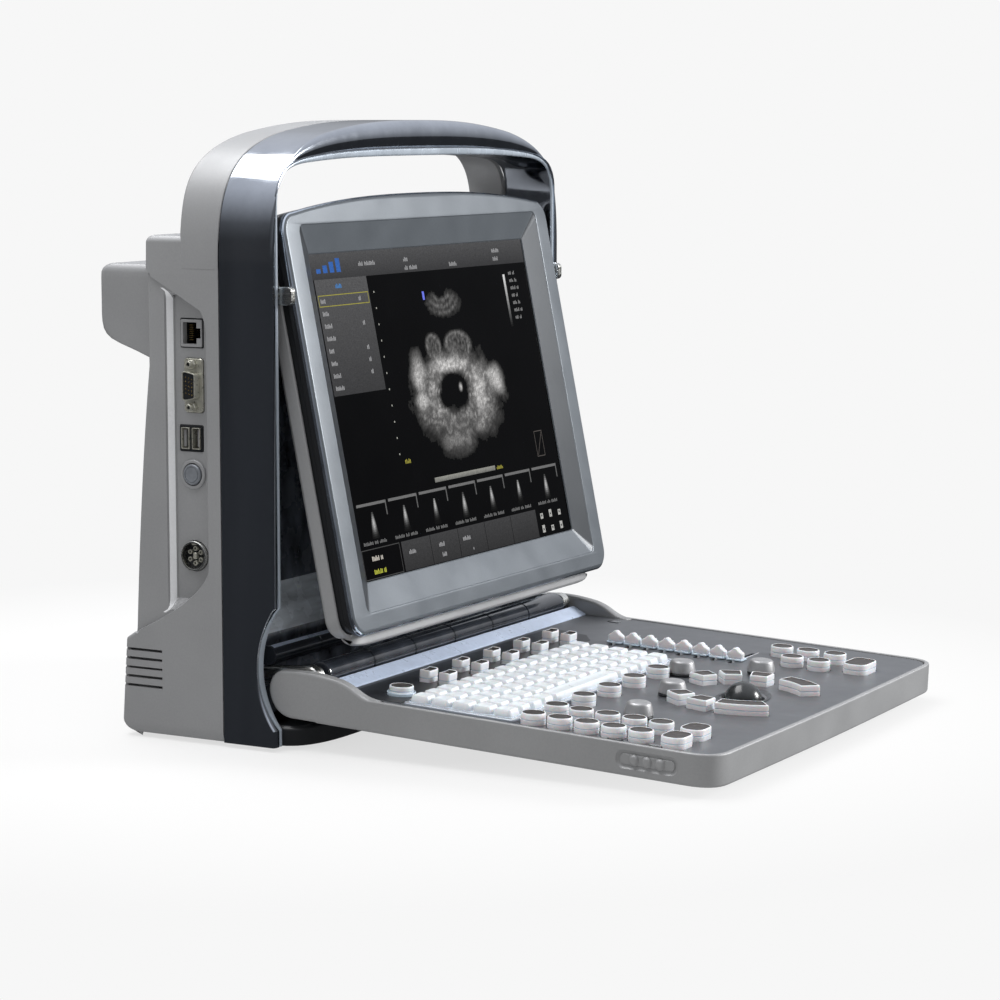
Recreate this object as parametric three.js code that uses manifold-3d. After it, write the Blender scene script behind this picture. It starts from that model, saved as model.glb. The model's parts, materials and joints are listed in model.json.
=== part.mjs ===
// Portable veterinary ultrasound scanner: an upright case with a carry handle, a tilting screen and
// a control panel that folds up over the screen. Millimetres, +X to the user's right, +Y to the
// back, +Z up. The origin is the centre of the plinth's underside. Everything is drawn with Z = 0 at
// the underside of the case and Y = 0 at the frame's front face, and the whole group is then moved.
import * as THREE from 'three';
import { mergeVertices } from 'three/addons/utils/BufferGeometryUtils.js';
import Module from 'manifold-3d';

const wasm = await Module();
wasm.setup();

// ---- driving dimensions -------------------------------------------------------------------------
const GAP = 0.3;                 // clearance between neighbouring pieces
const BEYOND = 180;              // half length of a cutter that runs right through the case
const FRONT_Y = -50;             // front face of the upright frame, seen from the origin
const PLINTH = { half: 120, front: -10, back: 90, height: 2.5 };

const CASE_HALF = 166.5;         // half width of the upright case
const HANDLE_TOP = 344;          // top of the carry handle
const HANDLE_THICK = 20.5;       // height of the grip bar
const LEG_THICK = 8.5;           // side wall of the front frame
const FRAME_DEPTH = 34;          // front frame, front to back
const ARCH_BACK = 61;            // back of the handle arch
const SHOULDER_TOP = 281;        // top of the rear housing
const REAR_Y = 84;               // back wall of the housing
const REAR_WAIST_Y = 95;         // back of the housing just above its foot
const REAR_FOOT_Y = 104;         // back of the housing's foot
const REAR_CORNER = 4;           // round of the housing's upright corners
const WALL = 3;                  // moulded wall

const TILT = THREE.MathUtils.degToRad(11.454);        // screen lean at rest
const SCREEN = { w: 246, h: 184.5 };                  // visible area of a 12.1 inch 4:3 panel
const SCREEN_FOOT = { y: -32.6, z: 89.2 };            // bottom edge of the visible area
const PIVOT = { y: -3, z: 249 };                      // screen tilt axis, at the end of its arms
const ARM_AXIS = { y: 3, z: 249 };                    // where the arms turn in the frame's legs
const BEZEL = { half: 152, bottom: -28, corner: 207, crown: 216, front: 6.5 };
const BEZEL_OPENING = { half: 137, bottom: -17, top: 201 };

const DECK_SLOPE = THREE.MathUtils.degToRad(2.67);    // panel falls towards the user
const DECK_Z = 32.5;                                  // deck height at the frame's front face
const PANEL_HALF = 157.2;                             // half width of the control panel
const PANEL_FRONT = 264;                              // length, from the frame's front face
const PANEL_REAR = 21;
const PANEL_THICK = 17;
const HINGE = { y: -12, z: 38 };                      // fold axis of the control panel
const EAR_THICK = 7;

const COLOURS = {
  chrome: [0x6f757d, 0.18, 1.0],
  silver: [0x87888b, 0.42, 0.25],
  panelGrey: [0x8d8e91, 0.45, 0.25],
  deckGrey: [0x53575f, 0.4, 0.2],
  black: [0x16181c, 0.35, 0.0],
  darkGloss: [0x1c2026, 0.15, 0.2],
  bezelGrey: [0x8b95a3, 0.35, 0.4],
  screen: [0x050506, 0.12, 0.0],
  white: [0xe8eaec, 0.35, 0.0],
  steel: [0xb5b8ba, 0.28, 1.0],
  board: [0x1f5c38, 0.6, 0.0],
  rubber: [0x202124, 0.85, 0.0],
};

// ---- geometry helpers ---------------------------------------------------------------------------
const AXES = {
  x: new THREE.Matrix4().set(0, 0, 1, 0, 1, 0, 0, 0, 0, 1, 0, 0, 0, 0, 0, 1),
  y: new THREE.Matrix4().set(1, 0, 0, 0, 0, 0, -1, 0, 0, 1, 0, 0, 0, 0, 0, 1),
  z: new THREE.Matrix4(),
};

function solid(geometry) {
  const bare = geometry.clone();
  bare.deleteAttribute('normal');
  bare.deleteAttribute('uv');
  const merged = mergeVertices(bare, 1e-4);
  return new wasm.Manifold(new wasm.Mesh({
    numProp: 3,
    vertProperties: new Float32Array(merged.attributes.position.array),
    triVerts: new Uint32Array(merged.index.array),
  }));
}

function geometryOf(body) {
  const mesh = body.getMesh();
  const geometry = new THREE.BufferGeometry();
  geometry.setAttribute('position', new THREE.BufferAttribute(new Float32Array(mesh.vertProperties), 3));
  geometry.setIndex(new THREE.BufferAttribute(new Uint32Array(mesh.triVerts), 1));
  geometry.computeVertexNormals();
  return geometry;
}

// Extrudes a shape along an axis, from low to high. The shape is drawn in (Y, Z) for x, in (X, Z)
// for y and in (X, Y) for z.
function extrude(axis, shape, low, high, segments = 8) {
  const geometry = new THREE.ExtrudeGeometry(shape, {
    depth: high - low, bevelEnabled: false, curveSegments: segments,
  });
  geometry.translate(0, 0, axis === 'y' ? -high : low);
  geometry.applyMatrix4(AXES[axis]);
  return solid(geometry);
}

function box(x0, x1, y0, y1, z0, z1) {
  const geometry = new THREE.BoxGeometry(x1 - x0, y1 - y0, z1 - z0);
  geometry.translate((x0 + x1) / 2, (y0 + y1) / 2, (z0 + z1) / 2);
  return solid(geometry);
}

function cylinder(axis, centre, radius, low, high, segments = 24) {
  const shape = new THREE.Shape();
  shape.absarc(centre[0], centre[1], radius, 0, 2 * Math.PI, false);
  return extrude(axis, shape, low, high, segments / 2);
}

function roundedRect(x0, x1, y0, y1, r) {
  const shape = new THREE.Shape();
  shape.moveTo(x0 + r, y0);
  shape.lineTo(x1 - r, y0);
  shape.absarc(x1 - r, y0 + r, r, -Math.PI / 2, 0, false);
  shape.lineTo(x1, y1 - r);
  shape.absarc(x1 - r, y1 - r, r, 0, Math.PI / 2, false);
  shape.lineTo(x0 + r, y1);
  shape.absarc(x0 + r, y1 - r, r, Math.PI / 2, Math.PI, false);
  shape.lineTo(x0, y0 + r);
  shape.absarc(x0 + r, y0 + r, r, Math.PI, 1.5 * Math.PI, false);
  return shape;
}

function polygon(points) {
  return new THREE.Shape(points.map(([a, b]) => new THREE.Vector2(a, b)));
}

function united(bodies) {
  return bodies.reduce((sum, body) => sum.add(body));
}

function without(body, cutters) {
  return cutters.reduce((rest, cutter) => rest.subtract(cutter), body);
}

function mirroredX(body) {
  return body.mirror([1, 0, 0]);
}

function lathe(profile, segments = 24) {
  const points = profile.map(([r, z]) => new THREE.Vector2(r, z));
  const geometry = new THREE.LatheGeometry(points, segments);
  geometry.rotateX(Math.PI / 2);
  return solid(geometry);
}

function mesh(name, body, finish) {
  const [color, roughness, metalness] = COLOURS[finish];
  const material = new THREE.MeshStandardMaterial({ color, roughness, metalness });
  const piece = new THREE.Mesh(geometryOf(body), material);
  piece.name = name;
  return piece;
}

// ---- outlines of the upright case ---------------------------------------------------------------
// The outer arch: straight sides, soft shoulders, and a slightly crowned top.
function outerArch(path, half, top, floor) {
  path.moveTo(-half, floor);
  path.lineTo(-half, top - 78);
  path.bezierCurveTo(-half, top - 34, -half + 16, top - 16, -half + 62, top - 7);
  path.bezierCurveTo(-half + 100, top - 1, -40, top, 0, top);
  path.bezierCurveTo(40, top, half - 100, top - 1, half - 62, top - 7);
  path.bezierCurveTo(half - 16, top - 16, half, top - 34, half, top - 78);
  path.lineTo(half, floor);
}

// The inner arch is drawn from right to left, so that it closes the outer one.
function innerArch(path, half, top, floor) {
  path.lineTo(half, floor);
  path.lineTo(half, top - 26);
  path.bezierCurveTo(half, top - 10, half - 8, top - 5, half - 28, top - 3);
  path.bezierCurveTo(half - 70, top, 60, top, 0, top);
  path.bezierCurveTo(-60, top, -half + 70, top, -half + 28, top - 3);
  path.bezierCurveTo(-half + 8, top - 5, -half, top - 10, -half, top - 26);
  path.lineTo(-half, floor);
}

function archRing(innerHalf, innerTop, floor) {
  const ring = new THREE.Shape();
  outerArch(ring, CASE_HALF, HANDLE_TOP, floor);
  innerArch(ring, innerHalf, innerTop, floor);
  ring.closePath();
  return ring;
}

// ---- fixed pieces of the upright case -----------------------------------------------------------
const INNER_HALF = CASE_HALF - LEG_THICK;
const EAR_SCOOP = { y: -43.7, z: 43.5, r: 55.5 };      // scoop in the legs beside the panel's ears
const PIN_R = 2.5;
const BRACKET = { x0: 142, x1: 149.8, reach: 6 };      // panel hinge brackets, inside the ears
const WELL_Y = 36;                                     // back of the bay that the screen folds into
const TUBE = { y: 16, z: 48.5, r: 6 };

function frontFrame() {
  const ring = extrude('y', archRing(INNER_HALF, HANDLE_TOP - HANDLE_THICK, 0), 0, FRAME_DEPTH, 8);
  const scoop = cylinder('x', [EAR_SCOOP.y, EAR_SCOOP.z], EAR_SCOOP.r, -BEYOND, BEYOND, 64);
  const reach = INNER_HALF + 5;
  const pinHole = cylinder('x', [ARM_AXIS.y, ARM_AXIS.z], PIN_R + GAP, -reach, reach, 10);
  return without(ring, [scoop, pinHole]);
}

// Side view of the housing, drawn inset by a wall thickness for the hollow inside.
function housingProfile(inset) {
  const shape = new THREE.Shape();
  shape.moveTo(FRAME_DEPTH + GAP, inset ? -1 : 0);
  shape.lineTo(REAR_FOOT_Y - 9 - inset, inset ? -1 : 0);
  shape.quadraticCurveTo(REAR_FOOT_Y - inset, 0, REAR_FOOT_Y - inset, 10);
  shape.lineTo(REAR_FOOT_Y - 3.5 - inset, 54 - inset / 2);
  shape.lineTo(REAR_WAIST_Y - inset, 58 - inset / 2);
  shape.quadraticCurveTo(REAR_Y + 7 - inset, 150, REAR_Y - inset, 208);
  shape.lineTo(REAR_Y - inset, SHOULDER_TOP - 4 - inset);
  shape.quadraticCurveTo(REAR_Y - inset, SHOULDER_TOP - inset, REAR_Y - 4 - inset, SHOULDER_TOP - inset);
  shape.lineTo(FRAME_DEPTH + GAP, SHOULDER_TOP - inset);
  return shape;
}

function housingPlan(inset) {
  const half = CASE_HALF - inset;
  const back = REAR_FOOT_Y + 1 - inset;
  const r = REAR_CORNER;
  const shape = new THREE.Shape();
  shape.moveTo(-half, FRAME_DEPTH + GAP);
  shape.lineTo(half, FRAME_DEPTH + GAP);
  shape.lineTo(half, back - r);
  shape.quadraticCurveTo(half, back, half - r, back);
  shape.lineTo(-half + r, back);
  shape.quadraticCurveTo(-half, back, -half, back - r);
  return shape;
}

// The port recess, side view: a sloped top, a straight front edge and a curved foot.
const RECESS = { front: 43, back: 71, top: 250, low: 74 };

function recessOutline(grow) {
  const front = RECESS.front - grow;
  const back = RECESS.back + grow;
  const shape = new THREE.Shape();
  shape.moveTo(back, RECESS.low - grow);
  shape.lineTo(back, RECESS.top + grow);
  shape.lineTo(front + 6, RECESS.top - 9 + grow);
  shape.quadraticCurveTo(front, RECESS.top - 13 + grow, front, RECESS.top - 22);
  shape.lineTo(front, RECESS.low + 28);
  shape.bezierCurveTo(front, RECESS.low + 12, front + 12, RECESS.low + 4 - grow, back, RECESS.low - grow);
  return shape;
}

const PANEL_X = { outer: 158.5, inner: 156 };          // the plates at the bottom of the recesses
const VENTS = { count: 5, pitch: 5.15, low: 26.4, height: 2.2, front: 75, inner: 156 };
const GRILLE = { count: 6, pitch: 7, low: 28, height: 3, x0: 72, x1: 132 };

function rearShell() {
  const lower = extrude('x', housingProfile(0), -CASE_HALF, CASE_HALF, 6)
    .intersect(extrude('z', housingPlan(0), 0, SHOULDER_TOP, 8));
  const arch = extrude('y', archRing(INNER_HALF - 4, HANDLE_TOP - HANDLE_THICK, SHOULDER_TOP - 17),
    FRAME_DEPTH + GAP, ARCH_BACK, 8);
  const jacket = extrude('x', recessOutline(2.5), PANEL_X.outer - 4, CASE_HALF, 6);
  const jackets = [jacket, mirroredX(jacket)];
  const hollow = extrude('x', housingProfile(WALL), -CASE_HALF + WALL, CASE_HALF - WALL, 6)
    .intersect(extrude('z', housingPlan(WALL), -1, SHOULDER_TOP, 8));
  const cutters = [hollow.subtract(united(jackets))];
  for (const side of [-1, 1]) {
    const recess = extrude('x', recessOutline(0), PANEL_X.inner - 6, BEYOND, 6);
    cutters.push(side < 0 ? mirroredX(recess) : recess);
    for (let k = 0; k < VENTS.count; k += 1) {
      const z = VENTS.low + k * VENTS.pitch;
      const slot = box(VENTS.inner, BEYOND, VENTS.front, 120, z, z + VENTS.height);
      cutters.push(side < 0 ? mirroredX(slot) : slot);
    }
  }
  for (let k = 0; k < GRILLE.count; k += 1) {
    const z = GRILLE.low + k * GRILLE.pitch;
    cutters.push(box(GRILLE.x0, GRILLE.x1, 90, 110, z, z + GRILLE.height));
  }
  return without(lower.add(arch), cutters);
}

function baseTray() {
  const plate = box(-150, 150, FRAME_DEPTH + 1, 88, 0, 3);
  const middle = box(-INNER_HALF + GAP, INNER_HALF - GAP, -17, FRAME_DEPTH + 2, 0, 3);
  const lip = extrude('x', polygon([[-17, 0], [-17, 9], [-14, 11], [8, 11], [8, 0]]),
    -INNER_HALF + GAP, INNER_HALF - GAP);
  const plinth = box(-PLINTH.half, PLINTH.half, PLINTH.front, PLINTH.back, -PLINTH.height, 1);
  return united([plate, middle, lip, plinth]);
}

function wellPanel() {
  const t = 2.5;
  const half = INNER_HALF - 1;
  const shape = new THREE.Shape();
  shape.moveTo(24, 12);
  shape.lineTo(24, 56);
  shape.quadraticCurveTo(24, 64, 30, 72);
  shape.quadraticCurveTo(WELL_Y, 80, WELL_Y, 100);
  shape.lineTo(WELL_Y, SHOULDER_TOP - WALL - 0.5);
  shape.lineTo(WELL_Y + t, SHOULDER_TOP - WALL - 0.5);
  shape.lineTo(WELL_Y + t, 100);
  shape.quadraticCurveTo(WELL_Y + t, 79, 32.5, 70.5);
  shape.quadraticCurveTo(24 + t, 63, 24 + t, 56);
  shape.lineTo(24 + t, 12);
  return extrude('x', shape, -half, half, 6);
}

function hingeTube() {
  return cylinder('x', [TUBE.y, TUBE.z], TUBE.r, -148, 148, 20);
}

// A bracket reaches from the bay's lower wall to the fold axis, and its pin enters the ear.
function hingeBracket(side) {
  const r = BRACKET.reach;
  const arm = new THREE.Shape();
  arm.moveTo(24 - GAP, HINGE.z - r);
  arm.lineTo(24 - GAP, HINGE.z + 3);
  arm.lineTo(HINGE.y, HINGE.z + r);
  arm.absarc(HINGE.y, HINGE.z, r, Math.PI / 2, 1.5 * Math.PI, false);
  const body = extrude('x', arm, BRACKET.x0, BRACKET.x1, 8)
    .add(cylinder('x', [HINGE.y, HINGE.z], 3, BRACKET.x1 - 1, PANEL_HALF - 1.4, 16));
  return side < 0 ? mirroredX(body) : body;
}

function foot(x, y) {
  return cylinder('z', [x, y], 9, -PLINTH.height, -GAP, 16);
}

// ---- ports and sockets --------------------------------------------------------------------------
const PORTS = {
  lan: { y: 57.4, z: 227, w: 15, h: 16 },
  vga: { y: 56.2, z: 198, w: 12.5, h: 30 },
  usb: { y: 58.5, z: 168.4, w: 15.5, h: 14.5 },
  button: { y: 57.5, z: 148.3, r: 6 },
  inlet: { y: 57, z: 102.5, r: 8.5 },
};
const PROBES = { upper: { y: 58, z: 205 }, lower: { y: 58, z: 128 }, w: 18, h: 64 };
const PROBE_MOUTH = { w: 11, h: 54, floor: 148 };

function sidePlate(holes) {
  return without(extrude('x', recessOutline(-GAP), -PANEL_X.outer, -PANEL_X.inner, 6), holes);
}

function rectHole({ y, z, w, h }, grow) {
  return box(-BEYOND, -140, y - w / 2 - grow, y + w / 2 + grow, z - h / 2 - grow, z + h / 2 + grow);
}

function roundHole({ y, z, r }, grow) {
  return cylinder('x', [y, z], r + grow, -BEYOND, -140, 20);
}

function portPanel() {
  return sidePlate([
    rectHole(PORTS.lan, GAP), rectHole(PORTS.vga, GAP), rectHole(PORTS.usb, GAP),
    roundHole(PORTS.button, GAP), roundHole(PORTS.inlet, GAP),
  ]);
}

function socketBlock({ y, z, w, h }, outer, depth) {
  return box(-outer, -outer + depth, y - w / 2, y + w / 2, z - h / 2, z + h / 2);
}

function lanSocket() {
  const { y, z } = PORTS.lan;
  const mouth = box(-170, -150, y - 3.5, y + 5.5, z - 6, z + 6);
  const latchSlot = box(-170, -150, y - 6, y - 3, z - 3, z + 3);
  return without(socketBlock(PORTS.lan, 159.3, 20), [mouth, latchSlot]);
}

function vgaSocket() {
  const { y, z } = PORTS.vga;
  const flange = socketBlock(PORTS.vga, 159.5, 12);
  const outline = polygon([[y - 4.2, z - 8], [y + 4.2, z - 7], [y + 4.2, z + 7], [y - 4.2, z + 8]]);
  const shellPlug = extrude('x', outline, -163.5, -159);
  const nuts = [-12.4, 12.4].map((dz) => cylinder('x', [y, z + dz], 2.6, -164, -159, 6));
  return united([flange, shellPlug, ...nuts]);
}

function usbSocket() {
  const { y, z } = PORTS.usb;
  const mouths = [-3.6, 3.6].map((dy) => box(-170, -148, y + dy - 2.6, y + dy + 2.6, z - 6.2, z + 6.2));
  return without(socketBlock(PORTS.usb, 159.6, 18), mouths);
}

function powerInlet() {
  const { y, z, r } = PORTS.inlet;
  const barrel = cylinder('x', [y, z], r, -161, -140, 24);
  const bore = cylinder('x', [y, z], r - 1.6, -170, -150, 24);
  const core = cylinder('x', [y, z], 4.4, -159, -149, 16);
  return barrel.subtract(bore).add(core);
}

function powerButton() {
  const { y, z, r } = PORTS.button;
  return cylinder('x', [y, z], r, -161.5, -150, 20);
}

function probeHole({ y, z }, grow) {
  return rectHole({ y, z, w: PROBES.w, h: PROBES.h }, grow);
}

function probePanel() {
  return mirroredX(sidePlate([probeHole(PROBES.upper, GAP), probeHole(PROBES.lower, GAP)]));
}

function probeSocket(place) {
  const { y, z } = place;
  const block = box(138, 160.5, y - PROBES.w / 2, y + PROBES.w / 2, z - PROBES.h / 2, z + PROBES.h / 2);
  const { w, h, floor } = PROBE_MOUTH;
  return block.subtract(box(floor, BEYOND, y - w / 2, y + w / 2, z - h / 2, z + h / 2));
}

// ---- back of the case and the inside ------------------------------------------------------------
const BAY = { half: 152, back: 126, top: 264, low: 226, lowFront: 209 };

function batteryCover() {
  const outline = (inset) => {
    const shape = new THREE.Shape();
    shape.moveTo(REAR_Y + GAP - (inset ? 5 : 0), BAY.lowFront + inset);
    shape.lineTo(BAY.back - 8 - inset, BAY.low - 5 + inset);
    shape.quadraticCurveTo(BAY.back - inset, BAY.low - 1 + inset, BAY.back - inset, BAY.low + 8);
    shape.lineTo(BAY.back - inset, BAY.top - 7 - inset);
    shape.quadraticCurveTo(BAY.back - inset, BAY.top - inset, BAY.back - 8 - inset, BAY.top - inset);
    shape.lineTo(REAR_Y + GAP - (inset ? 5 : 0), BAY.top - inset);
    return shape;
  };
  const shell = (inset) => {
    const half = BAY.half - inset;
    const plan = roundedRect(-half, half, REAR_Y - 30, BAY.back - inset, 5);
    return extrude('x', outline(inset), -half, half, 6).intersect(extrude('z', plan, 200, 280, 6));
  };
  return shell(0).subtract(shell(2.5));
}

function batteryPack() {
  return extrude('z', roundedRect(-105, 105, REAR_Y + 1, BAY.back - 5, 4), BAY.low + 3, BAY.top - 4, 3);
}

function mainBoard() {
  const board = box(-128, 128, 46, 47.6, 96, 262);
  const shield = box(-60, 40, 47, 56, 150, 235);
  const heatsink = box(60, 100, 47, 60, 170, 210);
  const edgeConnector = box(-120, -100, 47, 58, 110, 150);
  return united([board, shield, heatsink, edgeConnector]);
}

function powerSupply() {
  const can = box(-110, 30, 48, 90, 8, 58);
  const terminal = box(30, 44, 56, 80, 14, 30);
  return can.add(terminal);
}

const FAN = { x: 102, z: 42, r: 27, y0: 60, y1: 78 };

function fanHousing() {
  const half = FAN.r + 3;
  const frame = box(FAN.x - half, FAN.x + half, FAN.y0, FAN.y1, FAN.z - half, FAN.z + half);
  const throat = cylinder('y', [FAN.x, FAN.z], FAN.r, FAN.y0 - 1, FAN.y1 + 1, 32);
  const hub = cylinder('y', [FAN.x, FAN.z], 8, FAN.y1 - 4, FAN.y1, 16);
  const reach = half - 1;
  const strut = box(FAN.x - reach, FAN.x + reach, FAN.y1 - 3, FAN.y1 - 0.5, FAN.z - 1.5, FAN.z + 1.5);
  return united([frame.subtract(throat), hub, strut]);
}

function fanRotor() {
  const hub = cylinder('y', [0, 0], 8.5, FAN.y0 + 1, FAN.y1 - 5, 16);
  const blades = [];
  const bladeCount = 7;
  for (let k = 0; k < bladeCount; k += 1) {
    const blade = box(6, FAN.r - 1.5, -0.7, 0.7, -6, 6)
      .rotate([40, 0, 0])
      .translate([0, (FAN.y0 + FAN.y1) / 2 - 2, 0])
      .rotate([0, (360 / bladeCount) * k, 0]);
    blades.push(blade);
  }
  return united([hub, ...blades]).translate([FAN.x, 0, FAN.z]);
}

// ---- screen: drawn flat, x across, y up the screen, z out of the glass --------------------------
const SCREEN_BACK = -14.5;

function frustum(low, z0, high, z1) {
  const [a0, a1, b0, b1] = low;
  const [c0, c1, d0, d1] = high;
  const corners = [
    [a0, b0, z0], [a1, b0, z0], [a1, b1, z0], [a0, b1, z0],
    [c0, d0, z1], [c1, d0, z1], [c1, d1, z1], [c0, d1, z1],
  ];
  const faces = [
    0, 2, 1, 0, 3, 2, 4, 5, 6, 4, 6, 7, 0, 1, 5, 0, 5, 4,
    1, 2, 6, 1, 6, 5, 2, 3, 7, 2, 7, 6, 3, 0, 4, 3, 4, 7,
  ];
  const geometry = new THREE.BufferGeometry();
  geometry.setAttribute('position', new THREE.BufferAttribute(new Float32Array(corners.flat()), 3));
  geometry.setIndex(faces);
  return solid(geometry);
}

function bezelOutline(inset) {
  const half = BEZEL.half - inset;
  const low = BEZEL.bottom + inset;
  const corner = BEZEL.corner - inset;
  const crown = BEZEL.crown - inset;
  const r = 11;
  const shape = new THREE.Shape();
  shape.moveTo(-half + r, low);
  shape.lineTo(half - r, low);
  shape.quadraticCurveTo(half, low, half, low + r);
  shape.lineTo(half, corner - r);
  shape.quadraticCurveTo(half, corner, half - r, corner + 1);
  shape.quadraticCurveTo(half / 2, crown, 0, crown);
  shape.quadraticCurveTo(-half / 2, crown, -half + r, corner + 1);
  shape.quadraticCurveTo(-half, corner, -half, corner - r);
  shape.lineTo(-half, low + r);
  shape.quadraticCurveTo(-half, low, -half + r, low);
  return shape;
}

// Height of the hinge axis above the screen's bottom edge, and in front of the glass.
const lean = { sin: Math.sin(TILT), cos: Math.cos(TILT) };
const PIVOT_UP = (PIVOT.y - SCREEN_FOOT.y) * lean.sin + (PIVOT.z - SCREEN_FOOT.z) * lean.cos;
const PIVOT_OUT = -(PIVOT.y - SCREEN_FOOT.y) * lean.cos + (PIVOT.z - SCREEN_FOOT.z) * lean.sin;

function screenBezel() {
  const half = { w: SCREEN.w / 2, o: BEZEL_OPENING.half };
  const slab = extrude('z', bezelOutline(0), GAP, BEZEL.front, 6);
  const opening = frustum([-half.w, half.w, 0, SCREEN.h], GAP,
    [-half.o, half.o, BEZEL_OPENING.bottom, BEZEL_OPENING.top], BEZEL.front);
  const through = box(-half.w, half.w, 0, SCREEN.h, -1, BEZEL.front + 1);
  const pins = cylinder('x', [PIVOT_UP, PIVOT_OUT], PIN_R + GAP, -180, 180, 10)
    .subtract(box(-146, 146, PIVOT_UP - 9, PIVOT_UP + 9, PIVOT_OUT - 9, PIVOT_OUT + 9));
  return without(slab, [opening, through, pins]);
}

function lcdPanel() {
  const glass = box(-126, 126, -3, SCREEN.h + 3, -6, 0);
  const driver = box(-110, 110, 20, 40, -9, -5.5);
  return glass.add(driver);
}

function screenRearCover() {
  const band = extrude('z', bezelOutline(4), -8, 0, 6);
  const back = extrude('z', bezelOutline(1), SCREEN_BACK, -7, 6);
  const lip = box(-138, 138, BEZEL.bottom - 2, BEZEL.bottom + 4, SCREEN_BACK, -1);
  const lipClear = box(-150, 150, BEZEL.bottom - 0.5, BEZEL.bottom + 5, -6.9, 1);
  const hollow = box(-144, 144, -21, 197, SCREEN_BACK + 2.5, 1);
  return united([band.subtract(lipClear), back, lip.subtract(lipClear)]).subtract(hollow);
}

// A hinge arm sits between the leg and the bezel, with a pin into each.
function screenArm(side) {
  const plan = roundedRect(PIVOT.y - 4.5, PIVOT.y + 8.5, PIVOT.z - 5, PIVOT.z + 5, 3);
  const arm = extrude('x', plan, 152.8, 157.5, 4);
  const legPin = cylinder('x', [ARM_AXIS.y, ARM_AXIS.z], PIN_R, 157, 162, 10);
  const screenPin = cylinder('x', [PIVOT.y, PIVOT.z], PIN_R, 147, 153, 10);
  const body = united([arm, legPin, screenPin]);
  return side < 0 ? mirroredX(body) : body;
}

// ---- control panel: drawn level, y = -(distance from the frame), z above the deck ---------------
function panelPlan(half, rear, front, r) {
  const shape = new THREE.Shape();
  shape.moveTo(-half, -rear);
  shape.lineTo(-half, -front + r);
  shape.quadraticCurveTo(-half, -front, -half + r, -front);
  shape.quadraticCurveTo(0, -front - 2, half - r, -front);
  shape.quadraticCurveTo(half, -front, half, -front + r);
  shape.lineTo(half, -rear);
  return shape;
}

// The ear in side view, in deck coordinates: a round back end and an S-curve down to the deck.
function earOutline() {
  const shape = new THREE.Shape();
  shape.moveTo(-60, -PANEL_THICK);
  shape.lineTo(-4, -PANEL_THICK);
  shape.bezierCurveTo(5, -PANEL_THICK + 1, 9, -9, 10, -2);
  shape.bezierCurveTo(10, 6, 5, 10, -1, 10);
  shape.bezierCurveTo(-14, 11.5, -24, 10.5, -34, 9);
  shape.bezierCurveTo(-46, 6.5, -47, 1.5, -58, 0.5);
  return shape;
}

// The fold axis in deck coordinates.
const tip = { sin: Math.sin(DECK_SLOPE), cos: Math.cos(DECK_SLOPE) };
const HINGE_DECK = {
  y: HINGE.y * tip.cos + (HINGE.z - DECK_Z) * tip.sin,
  z: -HINGE.y * tip.sin + (HINGE.z - DECK_Z) * tip.cos,
};
const LATCH = { rear: 208, front: 240, x: 154 };

function panelCase() {
  const outer = extrude('z', panelPlan(PANEL_HALF, PANEL_REAR, PANEL_FRONT, 16), -PANEL_THICK, 0.6, 8);
  const hollow = extrude('z', panelPlan(PANEL_HALF - 2.8, PANEL_REAR + 2.6, PANEL_FRONT - 2.8, 14),
    -PANEL_THICK + 2.4, 5, 8);
  const stripSeat = box(-160, 160, -31, -10, -3.3, 5);
  const ear = extrude('x', earOutline(), PANEL_HALF - EAR_THICK, PANEL_HALF, 6);
  const ears = [ear, mirroredX(ear)];
  const pinEnd = PANEL_HALF - 1.1;
  const pinHole = cylinder('x', [HINGE_DECK.y, HINGE_DECK.z], 3 + GAP, -pinEnd, pinEnd, 16);
  const latchPocket = box(-PANEL_HALF - 1, -LATCH.x, -LATCH.front - 3, -LATCH.rear + 3, -12.5, -3.5);
  const padLow = -PANEL_THICK - 5;
  const pads = [-120, 120].map((x) => cylinder('z', [x, -240], 8, padLow, -PANEL_THICK + 1, 16));
  const shell = without(outer, [hollow, stripSeat]);
  return without(united([shell, ...ears, ...pads]), [pinHole, latchPocket]);
}

function deckShape() {
  const shape = new THREE.Shape();
  const half = PANEL_HALF - 3.1;
  const waist = PANEL_HALF - EAR_THICK - 0.5;
  const front = PANEL_FRONT - 3.1;
  shape.moveTo(-waist, -30);
  shape.lineTo(-waist, -61);
  shape.lineTo(-half, -61);
  shape.lineTo(-half, -front + 14);
  shape.quadraticCurveTo(-half, -front, -half + 14, -front);
  shape.quadraticCurveTo(0, -front - 2, half - 14, -front);
  shape.quadraticCurveTo(half, -front, half, -front + 14);
  shape.lineTo(half, -61);
  shape.lineTo(waist, -61);
  shape.lineTo(waist, -30);
  return shape;
}

// ---- controls on the deck: x across, v = distance from the frame --------------------------------
const QWERTY = {
  x0: -147, v0: 73.5, columns: 15, rows: 5, pitch: 13.1, pitchV: 12.9, gap: 1.7, top: 4.6,
};
const FUNCTION = { x0: -89, v: [53, 65.5], columns: 5, pitch: 36.5, w: 11, d: 7, top: 7 };
const ROUND_R = 6.8;
const ROUND_TOP = 6;
const LEFT_ROW = { v: 150, xs: [-144.5, -118, -86, -55, -24, 7] };
const LEFT_COLUMNS = { xs: [-144.5, -120], vs: [166, 182, 198, 214, 234] };
const RIGHT_KEYS = [[112, 182], [112, 199], [113, 216], [88, 199], [88, 216]];
const SLIDERS = {
  count: 8, v0: 86.5, pitch: 11.4, x: 80, slot0: 70, slot1: 106, half: 5, shoulder: 5, top: 8.2,
};
const KNOBS = [[20, 159], [-34, 179], [-97, 189], [52, 195]];
const KNOB = { r: 8, top: 9.2 };
const BALL = { x: -13, v: 213, r: 11, z: -2 };
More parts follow.
